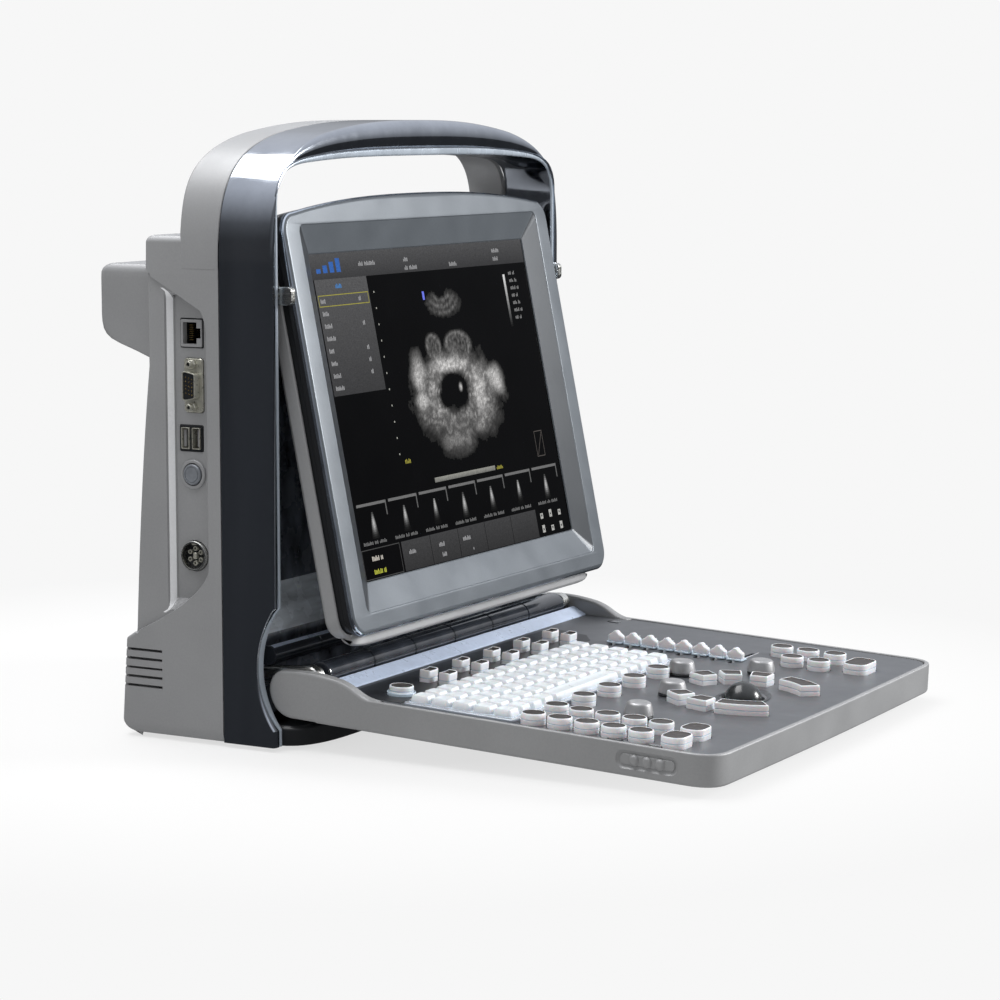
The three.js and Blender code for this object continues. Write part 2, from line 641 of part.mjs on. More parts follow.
const RING = {
  r0: 34.5, r1: 46.5,
  arcs: [[28, 17], [-10, 8.5], [-34, 8.5], [-58, 8.5], [-146, 8.5], [-170, 8.5]],   // middle, half
};
const SET_KEY = [157, 19];
const FREEZE = { x0: 87, x1: 111, v0: 230, v1: 245 };
const STANDBY = { x: -129, v: 59, r: 7.8 };
const MEMBRANE = { z0: -4.2, z1: -3.2 };

function discPath(x, v, r) {
  const path = new THREE.Shape();
  path.absarc(x, -v, r, 0, 2 * Math.PI, false);
  return path;
}

function rectPath(x0, x1, v0, v1) {
  return polygon([[x0, -v1], [x1, -v1], [x1, -v0], [x0, -v0]]);
}

// A ring segment about the trackball, by its middle angle and half angle in degrees.
function arcPath([middle, half], grow) {
  const edge = THREE.MathUtils.radToDeg(grow / RING.r0);
  const from = THREE.MathUtils.degToRad(-middle - half - edge);
  const to = THREE.MathUtils.degToRad(-middle + half + edge);
  const path = new THREE.Shape();
  path.absarc(BALL.x, -BALL.v, RING.r1 + grow, from, to, false);
  path.absarc(BALL.x, -BALL.v, RING.r0 - grow, to, from, true);
  return path;
}

function sliderV(k) {
  return SLIDERS.v0 + k * SLIDERS.pitch;
}

function leftKeyPlaces() {
  const row = LEFT_ROW.xs.map((x) => [x, LEFT_ROW.v]);
  const columns = LEFT_COLUMNS.vs.flatMap((v) => LEFT_COLUMNS.xs.map((x) => [x, v]));
  return [...row, ...columns];
}

function deckPlate() {
  const clear = 0.5;
  const q = QWERTY;
  const holes = [rectPath(q.x0 - clear, q.x0 + q.columns * q.pitch + clear,
    q.v0 - clear, q.v0 + q.rows * q.pitchV + clear)];
  for (const v of FUNCTION.v) {
    for (let k = 0; k < FUNCTION.columns; k += 1) {
      const x = FUNCTION.x0 + k * FUNCTION.pitch;
      holes.push(rectPath(x - FUNCTION.w / 2 - clear, x + FUNCTION.w / 2 + clear,
        v - FUNCTION.d / 2 - clear, v + FUNCTION.d / 2 + clear));
    }
  }
  for (const [x, v] of [...leftKeyPlaces(), ...RIGHT_KEYS]) {
    holes.push(discPath(x, v, ROUND_R + clear));
  }
  for (const [x, v] of KNOBS) {
    holes.push(discPath(x, v, 3.5));
  }
  for (let k = 0; k < SLIDERS.count; k += 1) {
    holes.push(rectPath(SLIDERS.slot0, SLIDERS.slot1, sliderV(k) - 1.4, sliderV(k) + 1.4));
  }
  for (const arc of [...RING.arcs, SET_KEY]) {
    holes.push(arcPath(arc, clear));
  }
  holes.push(discPath(BALL.x, BALL.v, 14.8));
  holes.push(discPath(STANDBY.x, STANDBY.v, STANDBY.r + 2 * clear));
  holes.push(rectPath(FREEZE.x0 - clear, FREEZE.x1 + clear, FREEZE.v0 - clear, FREEZE.v1 + clear));
  return without(extrude('z', deckShape(), -2, 0, 6), holes.map((hole) => extrude('z', hole, -3, 1, 4)));
}

function qwertyKeys() {
  const q = QWERTY;
  const width = q.columns * q.pitch;
  const depth = q.rows * q.pitchV;
  const bodies = [box(q.x0, q.x0 + width, -q.v0 - depth, -q.v0, MEMBRANE.z0, MEMBRANE.z1)];
  const spaceBar = { from: 4, to: 9 };
  for (let row = 0; row < q.rows; row += 1) {
    for (let column = 0; column < q.columns; column += 1) {
      const last = row === q.rows - 1;
      if (last && column > spaceBar.from && column <= spaceBar.to) {
        continue;
      }
      const span = last && column === spaceBar.from ? spaceBar.to - spaceBar.from + 1 : 1;
      const x = q.x0 + column * q.pitch + q.gap / 2;
      const y = -q.v0 - (row + 1) * q.pitchV + q.gap / 2;
      bodies.push(box(x, x + span * q.pitch - q.gap, y, y + q.pitchV - q.gap, MEMBRANE.z1 - 0.5, q.top));
    }
  }
  return united(bodies);
}

function keypad(sheets, caps) {
  const bodies = sheets.map(([x0, x1, v0, v1]) => box(x0, x1, -v1, -v0, MEMBRANE.z0, MEMBRANE.z1));
  return united([...bodies, ...caps]);
}

function cap(path, top, segments = 4) {
  return extrude('z', path, MEMBRANE.z1 - 0.5, top, segments);
}

function functionKeys() {
  const { w, d } = FUNCTION;
  const caps = FUNCTION.v.flatMap((v) => Array.from({ length: FUNCTION.columns }, (_, k) => {
    const x = FUNCTION.x0 + k * FUNCTION.pitch;
    return cap(rectPath(x - w / 2, x + w / 2, v - d / 2, v + d / 2), FUNCTION.top);
  }));
  return keypad([[-97, 65, 47, 71]], caps);
}

function leftKeys() {
  const caps = leftKeyPlaces().map(([x, v]) => cap(discPath(x, v, ROUND_R), ROUND_TOP));
  return keypad([[-153, 15, 142, 158], [-153, -111.5, 157, 243]], caps);
}

function rightKeys() {
  const caps = RIGHT_KEYS.map(([x, v]) => cap(discPath(x, v, ROUND_R), ROUND_TOP));
  return keypad([[80, 121, 191, 224], [104, 121, 174, 192]], caps);
}

// The ring keys share one sheet, an open horseshoe round the trackball's cup.
function ringKeys() {
  const horseshoe = new THREE.Shape();
  const from = THREE.MathUtils.degToRad(-48);
  const to = THREE.MathUtils.degToRad(180);
  horseshoe.absarc(BALL.x, -BALL.v, RING.r1, from, to, false);
  horseshoe.absarc(BALL.x, -BALL.v, RING.r0, to, from, true);
  const pegs = KNOBS.map(([x, v]) => cylinder('z', [x, -v], 4, -10, 5, 8));
  const sheet = without(extrude('z', horseshoe, MEMBRANE.z0, MEMBRANE.z1, 9), pegs);
  const caps = RING.arcs.map((arc) => cap(arcPath(arc, 0), ROUND_TOP, 4));
  return united([sheet, ...caps]);
}

function setKey() {
  return extrude('z', arcPath(SET_KEY, 0), MEMBRANE.z0, ROUND_TOP, 6);
}

function freezeKey() {
  const outline = roundedRect(FREEZE.x0, FREEZE.x1, -FREEZE.v1, -FREEZE.v0, 5);
  return extrude('z', outline, MEMBRANE.z0, ROUND_TOP, 4);
}

function standbyKey() {
  return extrude('z', discPath(STANDBY.x, STANDBY.v, STANDBY.r), MEMBRANE.z0, ROUND_TOP - 1, 8);
}

function sliderKnob(k) {
  const y = -sliderV(k);
  const stem = box(SLIDERS.x - 4, SLIDERS.x + 4, y - 0.9, y + 0.9, -5, 1.5);
  const { half, shoulder, top } = SLIDERS;
  const thumb = extrude('x', polygon([
    [y - half, 1], [y + half, 1], [y + half, shoulder], [y, top], [y - half, shoulder],
  ]), SLIDERS.x - 4, SLIDERS.x + 4);
  return stem.add(thumb);
}

function knob([x, v]) {
  const profile = [[0, -8], [2.8, -8], [2.8, 0.5], [KNOB.r, 0.5], [KNOB.r, 3], [KNOB.r - 1, 3.5],
    [KNOB.r - 1.2, KNOB.top - 1], [KNOB.r - 2.4, KNOB.top], [0, KNOB.top]];
  return lathe(profile, 14).translate([x, -v, 0]);
}

function keyTray() {
  const q = QWERTY;
  const margin = 4;
  const x1 = q.x0 + q.columns * q.pitch;
  const v1 = q.v0 + q.rows * q.pitchV;
  const rim = extrude('z', rectPath(q.x0 - margin, x1 + margin, q.v0 - 1, v1 + margin), GAP, 1.3);
  return rim.subtract(extrude('z', rectPath(q.x0 - 0.4, x1 + 0.4, q.v0 - 0.4, v1 + 0.4), 0, 2));
}

function deckStrip() {
  const shape = polygon([[-19.8, -3], [-19.8, 4], [-21, 4.5], [-29.5, 0.4], [-29.5, -3]]);
  return extrude('x', shape, -PANEL_HALF + EAR_THICK + 0.4, PANEL_HALF - EAR_THICK - 0.4);
}

function hingeBarrel() {
  const web = box(-139, 139, -19.5, HINGE_DECK.y, -3, 1.5);
  return cylinder('x', [HINGE_DECK.y, HINGE_DECK.z], 7.5, -139, 139, 24).add(web);
}

function ballRing() {
  const profile = [[11.5, -7], [13.2, -7], [13.2, GAP], [17.5, GAP], [16.8, 1.6], [11.2, 1.6],
    [11.5, 0], [11.5, -7]];
  return lathe(profile, 20).translate([BALL.x, -BALL.v, 0]);
}

function trackball() {
  const geometry = new THREE.SphereGeometry(BALL.r, 16, 10);
  geometry.rotateX(Math.PI / 2);
  geometry.translate(BALL.x, -BALL.v, BALL.z);
  return solid(geometry);
}

function panelBoard() {
  const board = extrude('z', roundedRect(-140, 140, -252, -42, 4), -12.4, -10.8, 2);
  const ballHole = cylinder('z', [BALL.x, -BALL.v], 14, -20, 0, 24);
  const chips = box(-60, -40, -120, -100, -11, -8.5).add(box(20, 60, -110, -90, -11, -8.5));
  return board.subtract(ballHole).add(chips);
}

function panelLatch() {
  const bar = box(-PANEL_HALF + 0.2, -LATCH.x - GAP, -LATCH.front, -LATCH.rear, -11, -5);
  const inner = -LATCH.x - 0.5;
  const bumps = [-231, -224, -217].map((y) => cylinder('x', [y, -8], 2.6, -PANEL_HALF - 1, inner, 12));
  return united([bar, ...bumps]);
}

// ---- assembly -----------------------------------------------------------------------------------
const scanner = new THREE.Group();
scanner.position.set(0, FRONT_Y, PLINTH.height);

const upright = [
  ['front_frame', frontFrame(), 'chrome'],
  ['rear_shell', rearShell(), 'silver'],
  ['base_tray', baseTray(), 'black'],
  ['well_panel', wellPanel(), 'darkGloss'],
  ['hinge_cover_tube', hingeTube(), 'darkGloss'],
  ['hinge_bracket_left', hingeBracket(-1), 'steel'],
  ['hinge_bracket_right', hingeBracket(1), 'steel'],
  ['foot_front_left', foot(-140, 8), 'rubber'],
  ['foot_front_right', foot(140, 8), 'rubber'],
  ['foot_rear_left', foot(-140, 78), 'rubber'],
  ['foot_rear_right', foot(140, 78), 'rubber'],
  ['port_panel', portPanel(), 'silver'],
  ['lan_socket', lanSocket(), 'steel'],
  ['vga_socket', vgaSocket(), 'steel'],
  ['usb_socket', usbSocket(), 'steel'],
  ['power_inlet', powerInlet(), 'steel'],
  ['power_button', powerButton(), 'silver'],
  ['probe_panel', probePanel(), 'silver'],
  ['probe_socket_upper', probeSocket(PROBES.upper), 'black'],
  ['probe_socket_lower', probeSocket(PROBES.lower), 'black'],
  ['battery_cover', batteryCover(), 'silver'],
  ['battery_pack', batteryPack(), 'black'],
  ['main_board', mainBoard(), 'board'],
  ['power_supply', powerSupply(), 'steel'],
  ['fan_housing', fanHousing(), 'black'],
  ['fan_rotor', fanRotor(), 'black'],
  ['screen_arm_left', screenArm(-1), 'steel'],
  ['screen_arm_right', screenArm(1), 'steel'],
];
for (const [name, body, finish] of upright) {
  scanner.add(mesh(name, body, finish));
}

const screen = new THREE.Group();
screen.position.set(0, SCREEN_FOOT.y, SCREEN_FOOT.z);
screen.rotation.x = Math.PI / 2 - TILT;
screen.add(mesh('screen_bezel', screenBezel(), 'bezelGrey'));
screen.add(mesh('lcd_panel', lcdPanel(), 'screen'));
screen.add(mesh('screen_rear_cover', screenRearCover(), 'silver'));
scanner.add(screen);

const panel = new THREE.Group();
panel.position.z = DECK_Z;
panel.rotation.x = DECK_SLOPE;
const panelPieces = [
  ['panel_case', panelCase(), 'panelGrey'],
  ['deck_plate', deckPlate(), 'deckGrey'],
  ['deck_strip', deckStrip(), 'chrome'],
  ['hinge_barrel', hingeBarrel(), 'darkGloss'],
  ['key_tray', keyTray(), 'steel'],
  ['panel_board', panelBoard(), 'board'],
  ['trackball_ring', ballRing(), 'black'],
  ['trackball', trackball(), 'black'],
  ['panel_latch', panelLatch(), 'panelGrey'],
  ['qwerty_keys', qwertyKeys(), 'white'],
  ['function_keys', functionKeys(), 'white'],
  ['left_keys', leftKeys(), 'white'],
  ['right_keys', rightKeys(), 'white'],
  ['ring_keys', ringKeys(), 'white'],
  ['set_key', setKey(), 'white'],
  ['freeze_key', freezeKey(), 'white'],
  ['standby_key', standbyKey(), 'white'],
];
KNOBS.forEach((place, k) => panelPieces.push([`control_knob_${k + 1}`, knob(place), 'chrome']));
for (let k = 0; k < SLIDERS.count; k += 1) {
  panelPieces.push([`gain_slider_${k + 1}`, sliderKnob(k), 'white']);
}
for (const [name, body, finish] of panelPieces) {
  panel.add(mesh(name, body, finish));
}
scanner.add(panel);

export default scanner;
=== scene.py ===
"""Looks of the portable ultrasound scanner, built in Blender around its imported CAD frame."""
import json
import math

import bmesh
import bpy
from mathutils import Matrix, Vector, noise
from mathutils.geometry import tessellate_polygon


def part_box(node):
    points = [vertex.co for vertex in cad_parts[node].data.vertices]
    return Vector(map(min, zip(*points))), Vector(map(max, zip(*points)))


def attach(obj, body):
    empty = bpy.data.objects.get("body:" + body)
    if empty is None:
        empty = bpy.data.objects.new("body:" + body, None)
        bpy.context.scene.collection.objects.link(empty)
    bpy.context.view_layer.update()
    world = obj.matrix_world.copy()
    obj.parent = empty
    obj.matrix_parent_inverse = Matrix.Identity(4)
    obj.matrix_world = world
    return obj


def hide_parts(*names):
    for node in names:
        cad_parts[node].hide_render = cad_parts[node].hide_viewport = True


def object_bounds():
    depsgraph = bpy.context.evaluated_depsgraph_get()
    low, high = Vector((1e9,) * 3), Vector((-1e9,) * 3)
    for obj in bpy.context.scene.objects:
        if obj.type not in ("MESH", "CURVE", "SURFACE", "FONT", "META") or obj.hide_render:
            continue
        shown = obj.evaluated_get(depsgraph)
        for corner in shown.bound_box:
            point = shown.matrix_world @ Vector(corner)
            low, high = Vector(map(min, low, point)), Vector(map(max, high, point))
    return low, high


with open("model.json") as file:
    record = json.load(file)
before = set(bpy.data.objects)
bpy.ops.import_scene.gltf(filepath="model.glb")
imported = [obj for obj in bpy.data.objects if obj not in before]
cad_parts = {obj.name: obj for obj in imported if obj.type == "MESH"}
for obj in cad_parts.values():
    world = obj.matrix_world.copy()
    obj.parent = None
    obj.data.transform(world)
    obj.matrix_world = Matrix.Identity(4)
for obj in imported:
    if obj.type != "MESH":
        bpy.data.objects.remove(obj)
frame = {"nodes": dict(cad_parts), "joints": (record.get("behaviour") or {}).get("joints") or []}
cad_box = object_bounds()

# ---- places: all shapes are drawn in millimetres in one of three local frames --------------------
MM = 0.001
JOINTS = {joint["name"]: joint for joint in frame["joints"]}
FRONT_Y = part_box("front_frame")[0].y / MM        # the upright frame's front face and underside
BASE_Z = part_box("front_frame")[0].z / MM
CASE_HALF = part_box("front_frame")[1].x / MM
HANDLE_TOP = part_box("front_frame")[1].z / MM - BASE_Z
press = JOINTS["qwerty_keys_press"]["axis"]
DECK_SLOPE = math.atan2(press[1], -press[2])
DECK_Z = 32.5                                    # deck height at the frame's front face
SCREEN_FOOT = (-32.6, 89.2)                      # y and z of the visible area's bottom edge
SCREEN_TILT = math.radians(11.454)

SCALE = Matrix.Scale(MM, 4)
UPRIGHT = SCALE @ Matrix.Translation((0, FRONT_Y, BASE_Z))
DECK = UPRIGHT @ Matrix.Translation((0, 0, DECK_Z)) @ Matrix.Rotation(DECK_SLOPE, 4, "X")
SCREEN = (UPRIGHT @ Matrix.Translation((0, *SCREEN_FOOT))
          @ Matrix.Rotation(math.pi / 2 - SCREEN_TILT, 4, "X"))


# ---- outlines ------------------------------------------------------------------------------------
def arc(cx, cy, r, start, end, steps=8):
    """Points on an arc, with its angles in degrees."""
    angles = [math.radians(start + (end - start) * k / steps) for k in range(steps + 1)]
    return [(cx + r * math.cos(a), cy + r * math.sin(a)) for a in angles]


def bezier(p0, p1, p2, p3, steps=12):
    points = []
    for k in range(steps + 1):
        t = k / steps
        w = ((1 - t) ** 3, 3 * t * (1 - t) ** 2, 3 * t * t * (1 - t), t ** 3)
        points.append(tuple(sum(f * p[i] for f, p in zip(w, (p0, p1, p2, p3))) for i in (0, 1)))
    return points


def rounded_rect(x0, x1, y0, y1, r, steps=6):
    return (arc(x1 - r, y0 + r, r, -90, 0, steps) + arc(x1 - r, y1 - r, r, 0, 90, steps)
            + arc(x0 + r, y1 - r, r, 90, 180, steps) + arc(x0 + r, y0 + r, r, 180, 270, steps))


def circle(cx, cy, r, steps=32):
    return arc(cx, cy, r, 0, 360, steps)[:-1]


def tidy(points):
    """The outline without repeated points, and running anticlockwise."""
    kept = []
    for point in points:
        if not kept or math.dist(point, kept[-1]) > 1e-4:
            kept.append(point)
    if math.dist(kept[0], kept[-1]) < 1e-4:
        kept.pop()
    area = sum(kept[i - 1][0] * kept[i][1] - kept[i][0] * kept[i - 1][1] for i in range(len(kept)))
    return kept if area > 0 else kept[::-1]


def inset(points, distance):
    """A tidy outline moved inwards by a distance, with mitred corners."""
    moved = []
    for i, (x, y) in enumerate(points):
        before, after = points[i - 1], points[(i + 1) % len(points)]
        a = Vector((x - before[0], y - before[1])).normalized()
        b = Vector((after[0] - x, after[1] - y)).normalized()
        normal = Vector((-a.y - b.y, a.x + b.x))
        shift = normal * (2 * distance / max(normal.length_squared, 0.2))
        moved.append((x + shift.x, y + shift.y))
    return moved


def rounded(low, high, edge, foot=0.0, steps=4):
    """A profile of (inset, height) pairs with a rounded top edge and, if asked, a rounded foot."""
    profile = [(0.0, low)]
    if foot:
        turns = [math.pi / 2 * k / steps for k in range(steps + 1)]
        profile = [(foot * (1 - math.sin(t)), low + foot * (1 - math.cos(t))) for t in turns]
    for k in range(steps + 1):
        t = math.pi / 2 * k / steps
        profile.append((edge * (1 - math.cos(t)), high - edge * (1 - math.sin(t))))
    return profile


def add_object(name, data):
    made = bpy.data.objects.new(name, data)
    bpy.context.scene.collection.objects.link(made)
    return made


def add_mesh(name, bm):
    data = bpy.data.meshes.new(name)
    bm.to_mesh(data)
    return add_object(name, data)


def solved(made):
    """An object's mesh with its modifiers applied."""
    return bpy.data.meshes.new_from_object(made.evaluated_get(bpy.context.evaluated_depsgraph_get()))


AXES = {
    "x": lambda a, b, h: (h, a, b),
    "y": lambda a, b, h: (a, h, b),
    "z": lambda a, b, h: (a, b, h),
}


class Shape:
    """Faces drawn in one local frame that become one piece."""

    def __init__(self, place):
        self.place = place
        self.bm = bmesh.new()

    def ring(self, points):
        return [self.bm.verts.new(point) for point in points]

    def face(self, corners, material=0):
        corners = list(dict.fromkeys(corners))
        if len(corners) > 2:
            self.bm.faces.new(corners).material_index = material

    def bridge(self, a, b, material=0, closed=True):
        for i in range(len(a) if closed else len(a) - 1):
            j = (i + 1) % len(a)
            self.face([a[i], a[j], b[j], b[i]], material)

    def fill(self, rings, material=0):
        """A flat area inside the first ring, with the other rings as holes."""
        corners = [v for ring in rings for v in ring]
        for triangle in tessellate_polygon([[v.co.copy() for v in ring] for ring in rings]):
            self.face([corners[k] for k in triangle], material)

    def loft(self, loops, material=0, start=True, end=True):
        rings = [self.ring(loop) for loop in loops]
        for a, b in zip(rings, rings[1:]):
            self.bridge(a, b, material)
        if start:
            self.face(rings[0], material)
        if end:
            self.face(rings[-1], material)
        return rings

    def prism(self, outline, profile, axis="z", material=0, start=True, end=True):
        outline = tidy(outline)
        place = AXES[axis]
        loops = [[place(a, b, height) for a, b in inset(outline, distance)]
                 for distance, height in profile]
        return self.loft(loops, material, start, end)

    def bar(self, outline, low, high, axis="z", material=0, chamfer=0.0):
        """A straight prism, with a chamfer at its high end if asked."""
        profile = [(0, low), (0, high)]
        if chamfer:
            profile = [(0, low), (0, high - chamfer), (chamfer, high)]
        self.prism(outline, profile, axis, material)

    def plate(self, outline, holes, low, high, edge, axis="z", material=0, hole_edge=0.3):
        """A flat plate with holes, whose rims are rounded on the high side."""
        outer = self.prism(outline, rounded(low, high, edge), axis, material, False, False)
        bores = [self.prism(hole, [(-d, h) for d, h in rounded(low, high, hole_edge, steps=2)],
                            axis, material, False, False) for hole in holes]
        self.fill([outer[-1]] + [bore[-1] for bore in bores], material)
        self.fill([outer[0]] + [bore[0] for bore in bores], material)

    def faces_between(self, a, b):
        """The faces that join two rings."""
        ends = set(b)
        return {face for vert in a for face in vert.link_faces if ends.intersection(face.verts)}

    def face_on(self, ring):
        """The face that closes a ring."""
        return next(face for face in ring[0].link_faces if set(face.verts) == set(ring))

    def solid(self, name):
        """The faces so far as an object of its own."""
        bmesh.ops.recalc_face_normals(self.bm, faces=self.bm.faces)
        return add_mesh(name, self.bm)

    def cut(self, cutter):
        """Cuts another closed shape, drawn in the same frame, out of this one."""
        whole, tool = self.solid("whole"), cutter.solid("tool")
        boolean = whole.modifiers.new("cut", "BOOLEAN")
        boolean.solver = "EXACT"
        boolean.object = tool
        whole.data = solved(whole)
        self.bm.clear()
        self.bm.from_mesh(whole.data)
        cutter.bm.free()
        bpy.data.objects.remove(whole)
        bpy.data.objects.remove(tool)

    def piece(self, name, body, slot, materials, nodes=(), crease=38, thickness=0.0):
        """Makes the faces so far a piece of a body, in place of the CAD nodes it stands for."""
        bmesh.ops.recalc_face_normals(self.bm, faces=self.bm.faces)
        self.bm.transform(self.place)
        if self.place.determinant() < 0:
            bmesh.ops.reverse_faces(self.bm, faces=self.bm.faces)
        made = add_mesh(name, self.bm)
        self.bm.free()
        for material in materials:
            made.data.materials.append(material)
        if thickness:
            wall = made.modifiers.new("wall", "SOLIDIFY")
            wall.thickness = thickness * MM
            wall.offset = -1
            made.data = solved(made)
            made.modifiers.clear()
        for polygon in made.data.polygons:
            polygon.use_smooth = True
        made.data.set_sharp_from_angle(angle=math.radians(crease))
        soften = made.modifiers.new("normals", "WEIGHTED_NORMAL")
        soften.keep_sharp = True
        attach(made, body)
        if nodes:
            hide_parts(*nodes)
        return made


# ---- materials -----------------------------------------------------------------------------------
def add_node(tree, kind, inputs=None, **settings):
    """A shader node whose inputs each get a value or a link from another node's output."""
    made = tree.nodes.new("ShaderNode" + kind)
    for key, value in settings.items():
        setattr(made, key, value)
    for key, value in (inputs or {}).items():
        if isinstance(value, bpy.types.NodeSocket):
            tree.links.new(value, made.inputs[key])
        else:
            made.inputs[key].default_value = value
    return made


class Finish:
    """A Principled material whose colour, roughness and bump come from noise in object space."""

    def __init__(self, name, colour, rough, metal=0.0, **inputs):
        self.material = bpy.data.materials.new(name)
        self.material.use_nodes = True
        self.tree = self.material.node_tree
        self.shader = self.tree.nodes["Principled BSDF"]
        self.where = add_node(self.tree, "TexCoord").outputs["Object"]
        self.tint = colour
        settings = {"Base Color": (*colour, 1), "Roughness": rough, "Metallic": metal}
        settings.update({key.replace("_", " "): value for key, value in inputs.items()})
        for key, value in settings.items():
            self.shader.inputs[key].default_value = value

    def noise(self, scale, detail=3.0, stretch=(1, 1, 1)):
        scales = [scale * k for k in stretch]
        mapping = add_node(self.tree, "Mapping", {"Vector": self.where, "Scale": scales})
        made = add_node(self.tree, "TexNoise",
                        {"Vector": mapping.outputs["Vector"], "Scale": 1.0, "Detail": detail})
        return made.outputs["Fac"]

    def remap(self, value, low, high):
        """Stretches the middle of a noise between two values."""
        made = add_node(self.tree, "MapRange", {"Value": value, "From Min": 0.3, "From Max": 0.7,
                                                "To Min": low, "To Max": high})
        return made.outputs["Result"]

    def mottle(self, scale, dark, light, stretch=(1, 1, 1), detail=3.0):
        """Multiplies the colour by a noise between dark and light."""
        factor = self.remap(self.noise(scale, detail, stretch), dark, light)
        made = add_node(self.tree, "VectorMath", {0: self.tint, "Scale": factor}, operation="SCALE")
        self.tint = made.outputs["Vector"]
        self.tree.links.new(self.tint, self.shader.inputs["Base Color"])
        return self

    def polish(self, scale, low, high, stretch=(1, 1, 1)):
        """Roughness that varies between two values."""
        rough = self.remap(self.noise(scale, 4.0, stretch), low, high)
        self.tree.links.new(rough, self.shader.inputs["Roughness"])
        return self

    def grain(self, scale, depth, strength=1.0, stretch=(1, 1, 1)):
        """A bump of the given depth in millimetres."""
        bump = add_node(self.tree, "Bump", {"Strength": strength, "Distance": depth * MM,
                                            "Height": self.noise(scale, 2.0, stretch)})
        self.tree.links.new(bump.outputs["Normal"], self.shader.inputs["Normal"])
        return self


def moulded(name, colour, rough, grain_depth=0.02, **inputs):
    """Spray-painted or moulded plastic with a fine orange-peel texture."""
    finish = Finish(name, colour, rough, **inputs).mottle(18, 0.95, 1.04).mottle(900, 0.97, 1.03)
    return finish.polish(45, rough * 0.88, rough * 1.14).grain(2600, grain_depth, 0.35).material


CHROME = (Finish("gunmetal_chrome", (0.46, 0.49, 0.54), 0.09, 1.0)
          .mottle(26, 0.86, 1.08, (1, 1, 0.08)).mottle(300, 0.98, 1.02)
          .polish(60, 0.06, 0.15, (1, 1, 0.1)).grain(70, 0.05, 0.10, (1, 1, 0.12)).material)
SILVER = moulded("silver_paint", (0.30, 0.303, 0.31), 0.42, metal=0.25)
PANEL_GREY = moulded("panel_grey_paint", (0.288, 0.291, 0.296), 0.44, metal=0.2)
DECK_GREY = moulded("deck_grey_plastic", (0.068, 0.072, 0.080), 0.36, Coat_Weight=0.15, Coat_Roughness=0.3)
BEZEL_BLUE = moulded("bezel_metallic_paint", (0.112, 0.126, 0.141), 0.34, 0.012, metal=0.35)
# The bezel paint darkened: painted shade for the side bevels round the opening.
BEZEL_PAINTED_SHADE = moulded("bezel_bevel_painted_shade", (0.032, 0.037, 0.043), 0.36, 0.012, metal=0.3)
BLACK = moulded("black_plastic", (0.012, 0.013, 0.015), 0.36)
RUBBER = moulded("rubber", (0.02, 0.02, 0.021), 0.8, 0.06)
BLACK_GLOSS = (Finish("black_gloss", (0.018, 0.021, 0.027), 0.12, Coat_Weight=0.8, Coat_Roughness=0.06)
               .mottle(60, 0.6, 1.6, (1, 1, 0.35)).polish(90, 0.07, 0.22).grain(140, 0.08, 0.22).material)
STEEL = (Finish("plated_steel", (0.66, 0.66, 0.63), 0.24, 1.0).mottle(200, 0.88, 1.05)
         .polish(500, 0.18, 0.34, (1, 0.1, 1)).grain(900, 0.01, 0.3, (1, 0.1, 1)).material)
BEZEL_EDGE = (Finish("bezel_edge", (0.62, 0.68, 0.76), 0.16, 1.0).mottle(60, 0.85, 1.08)
              .polish(120, 0.12, 0.22).grain(700, 0.01, 0.3).material)
# Light blue for the deck's bevel strip and a line along the cable tube: painted highlights.
STRIP_PAINTED_HIGHLIGHT = (Finish("blue_strip_painted_highlight", (0.60, 0.69, 0.86), 0.3, 0.15)
              .mottle(16, 0.86, 1.08, (1, 2, 2)).mottle(260, 0.95, 1.04)
              .polish(120, 0.24, 0.4).grain(700, 0.01, 0.2).material)
# Light satin for the frame's inner lip: a painted highlight along that edge.
FRAME_LIP_PAINTED_HIGHLIGHT = (Finish("frame_lip_painted_highlight", (0.40, 0.45, 0.51), 0.28, 0.35).mottle(26, 0.8, 1.1, (1, 1, 0.2))
             .polish(60, 0.2, 0.34, (1, 1, 0.1)).grain(700, 0.01, 0.2).material)
# Light silver for the wall behind the side trough: a painted highlight on that wall.
SILVER_WALL_PAINTED_HIGHLIGHT = (Finish("silver_wall_painted_highlight", (0.80, 0.81, 0.83), 0.3, Coat_Weight=0.3).mottle(18, 0.97, 1.03)
               .mottle(900, 0.97, 1.02).polish(45, 0.26, 0.36).grain(2600, 0.02, 0.3).material)
# Light blue with dark streaks on the slope at the foot of the screen bay: a painted reflection.
FOOT_PAINTED_REFLECTION = (Finish("well_foot_painted_reflection", (0.86, 0.93, 1.0), 0.25, 0.1)
                .mottle(30, 0.35, 1.15, (0.7, 3.5, 3.5), 5.0).polish(90, 0.15, 0.35)
                .grain(120, 0.06, 0.2).material)
SCREEN_GLASS = (Finish("display_black", (0.001, 0.001, 0.0012), 0.25, Specular_IOR_Level=0.03)
                .mottle(30, 0.8, 1.2).polish(40, 0.08, 0.14).material)


def picture_material():
    """The lit picture: its colour attribute, broken up by a fine pixel pattern."""
    finish = Finish("display_picture", (0.001, 0.001, 0.001), 0.3, Specular_IOR_Level=0.02)
    shade = add_node(finish.tree, "Attribute", attribute_name="shade")
    speckle = finish.remap(finish.noise(1400, 2.0), 0.72, 1.2)
    scaled = add_node(finish.tree, "VectorMath", {0: shade.outputs["Color"], "Scale": speckle},
                      operation="SCALE")
    finish.tree.links.new(scaled.outputs["Vector"], finish.shader.inputs["Emission Color"])
    finish.shader.inputs["Emission Strength"].default_value = 1.0
    return finish.material


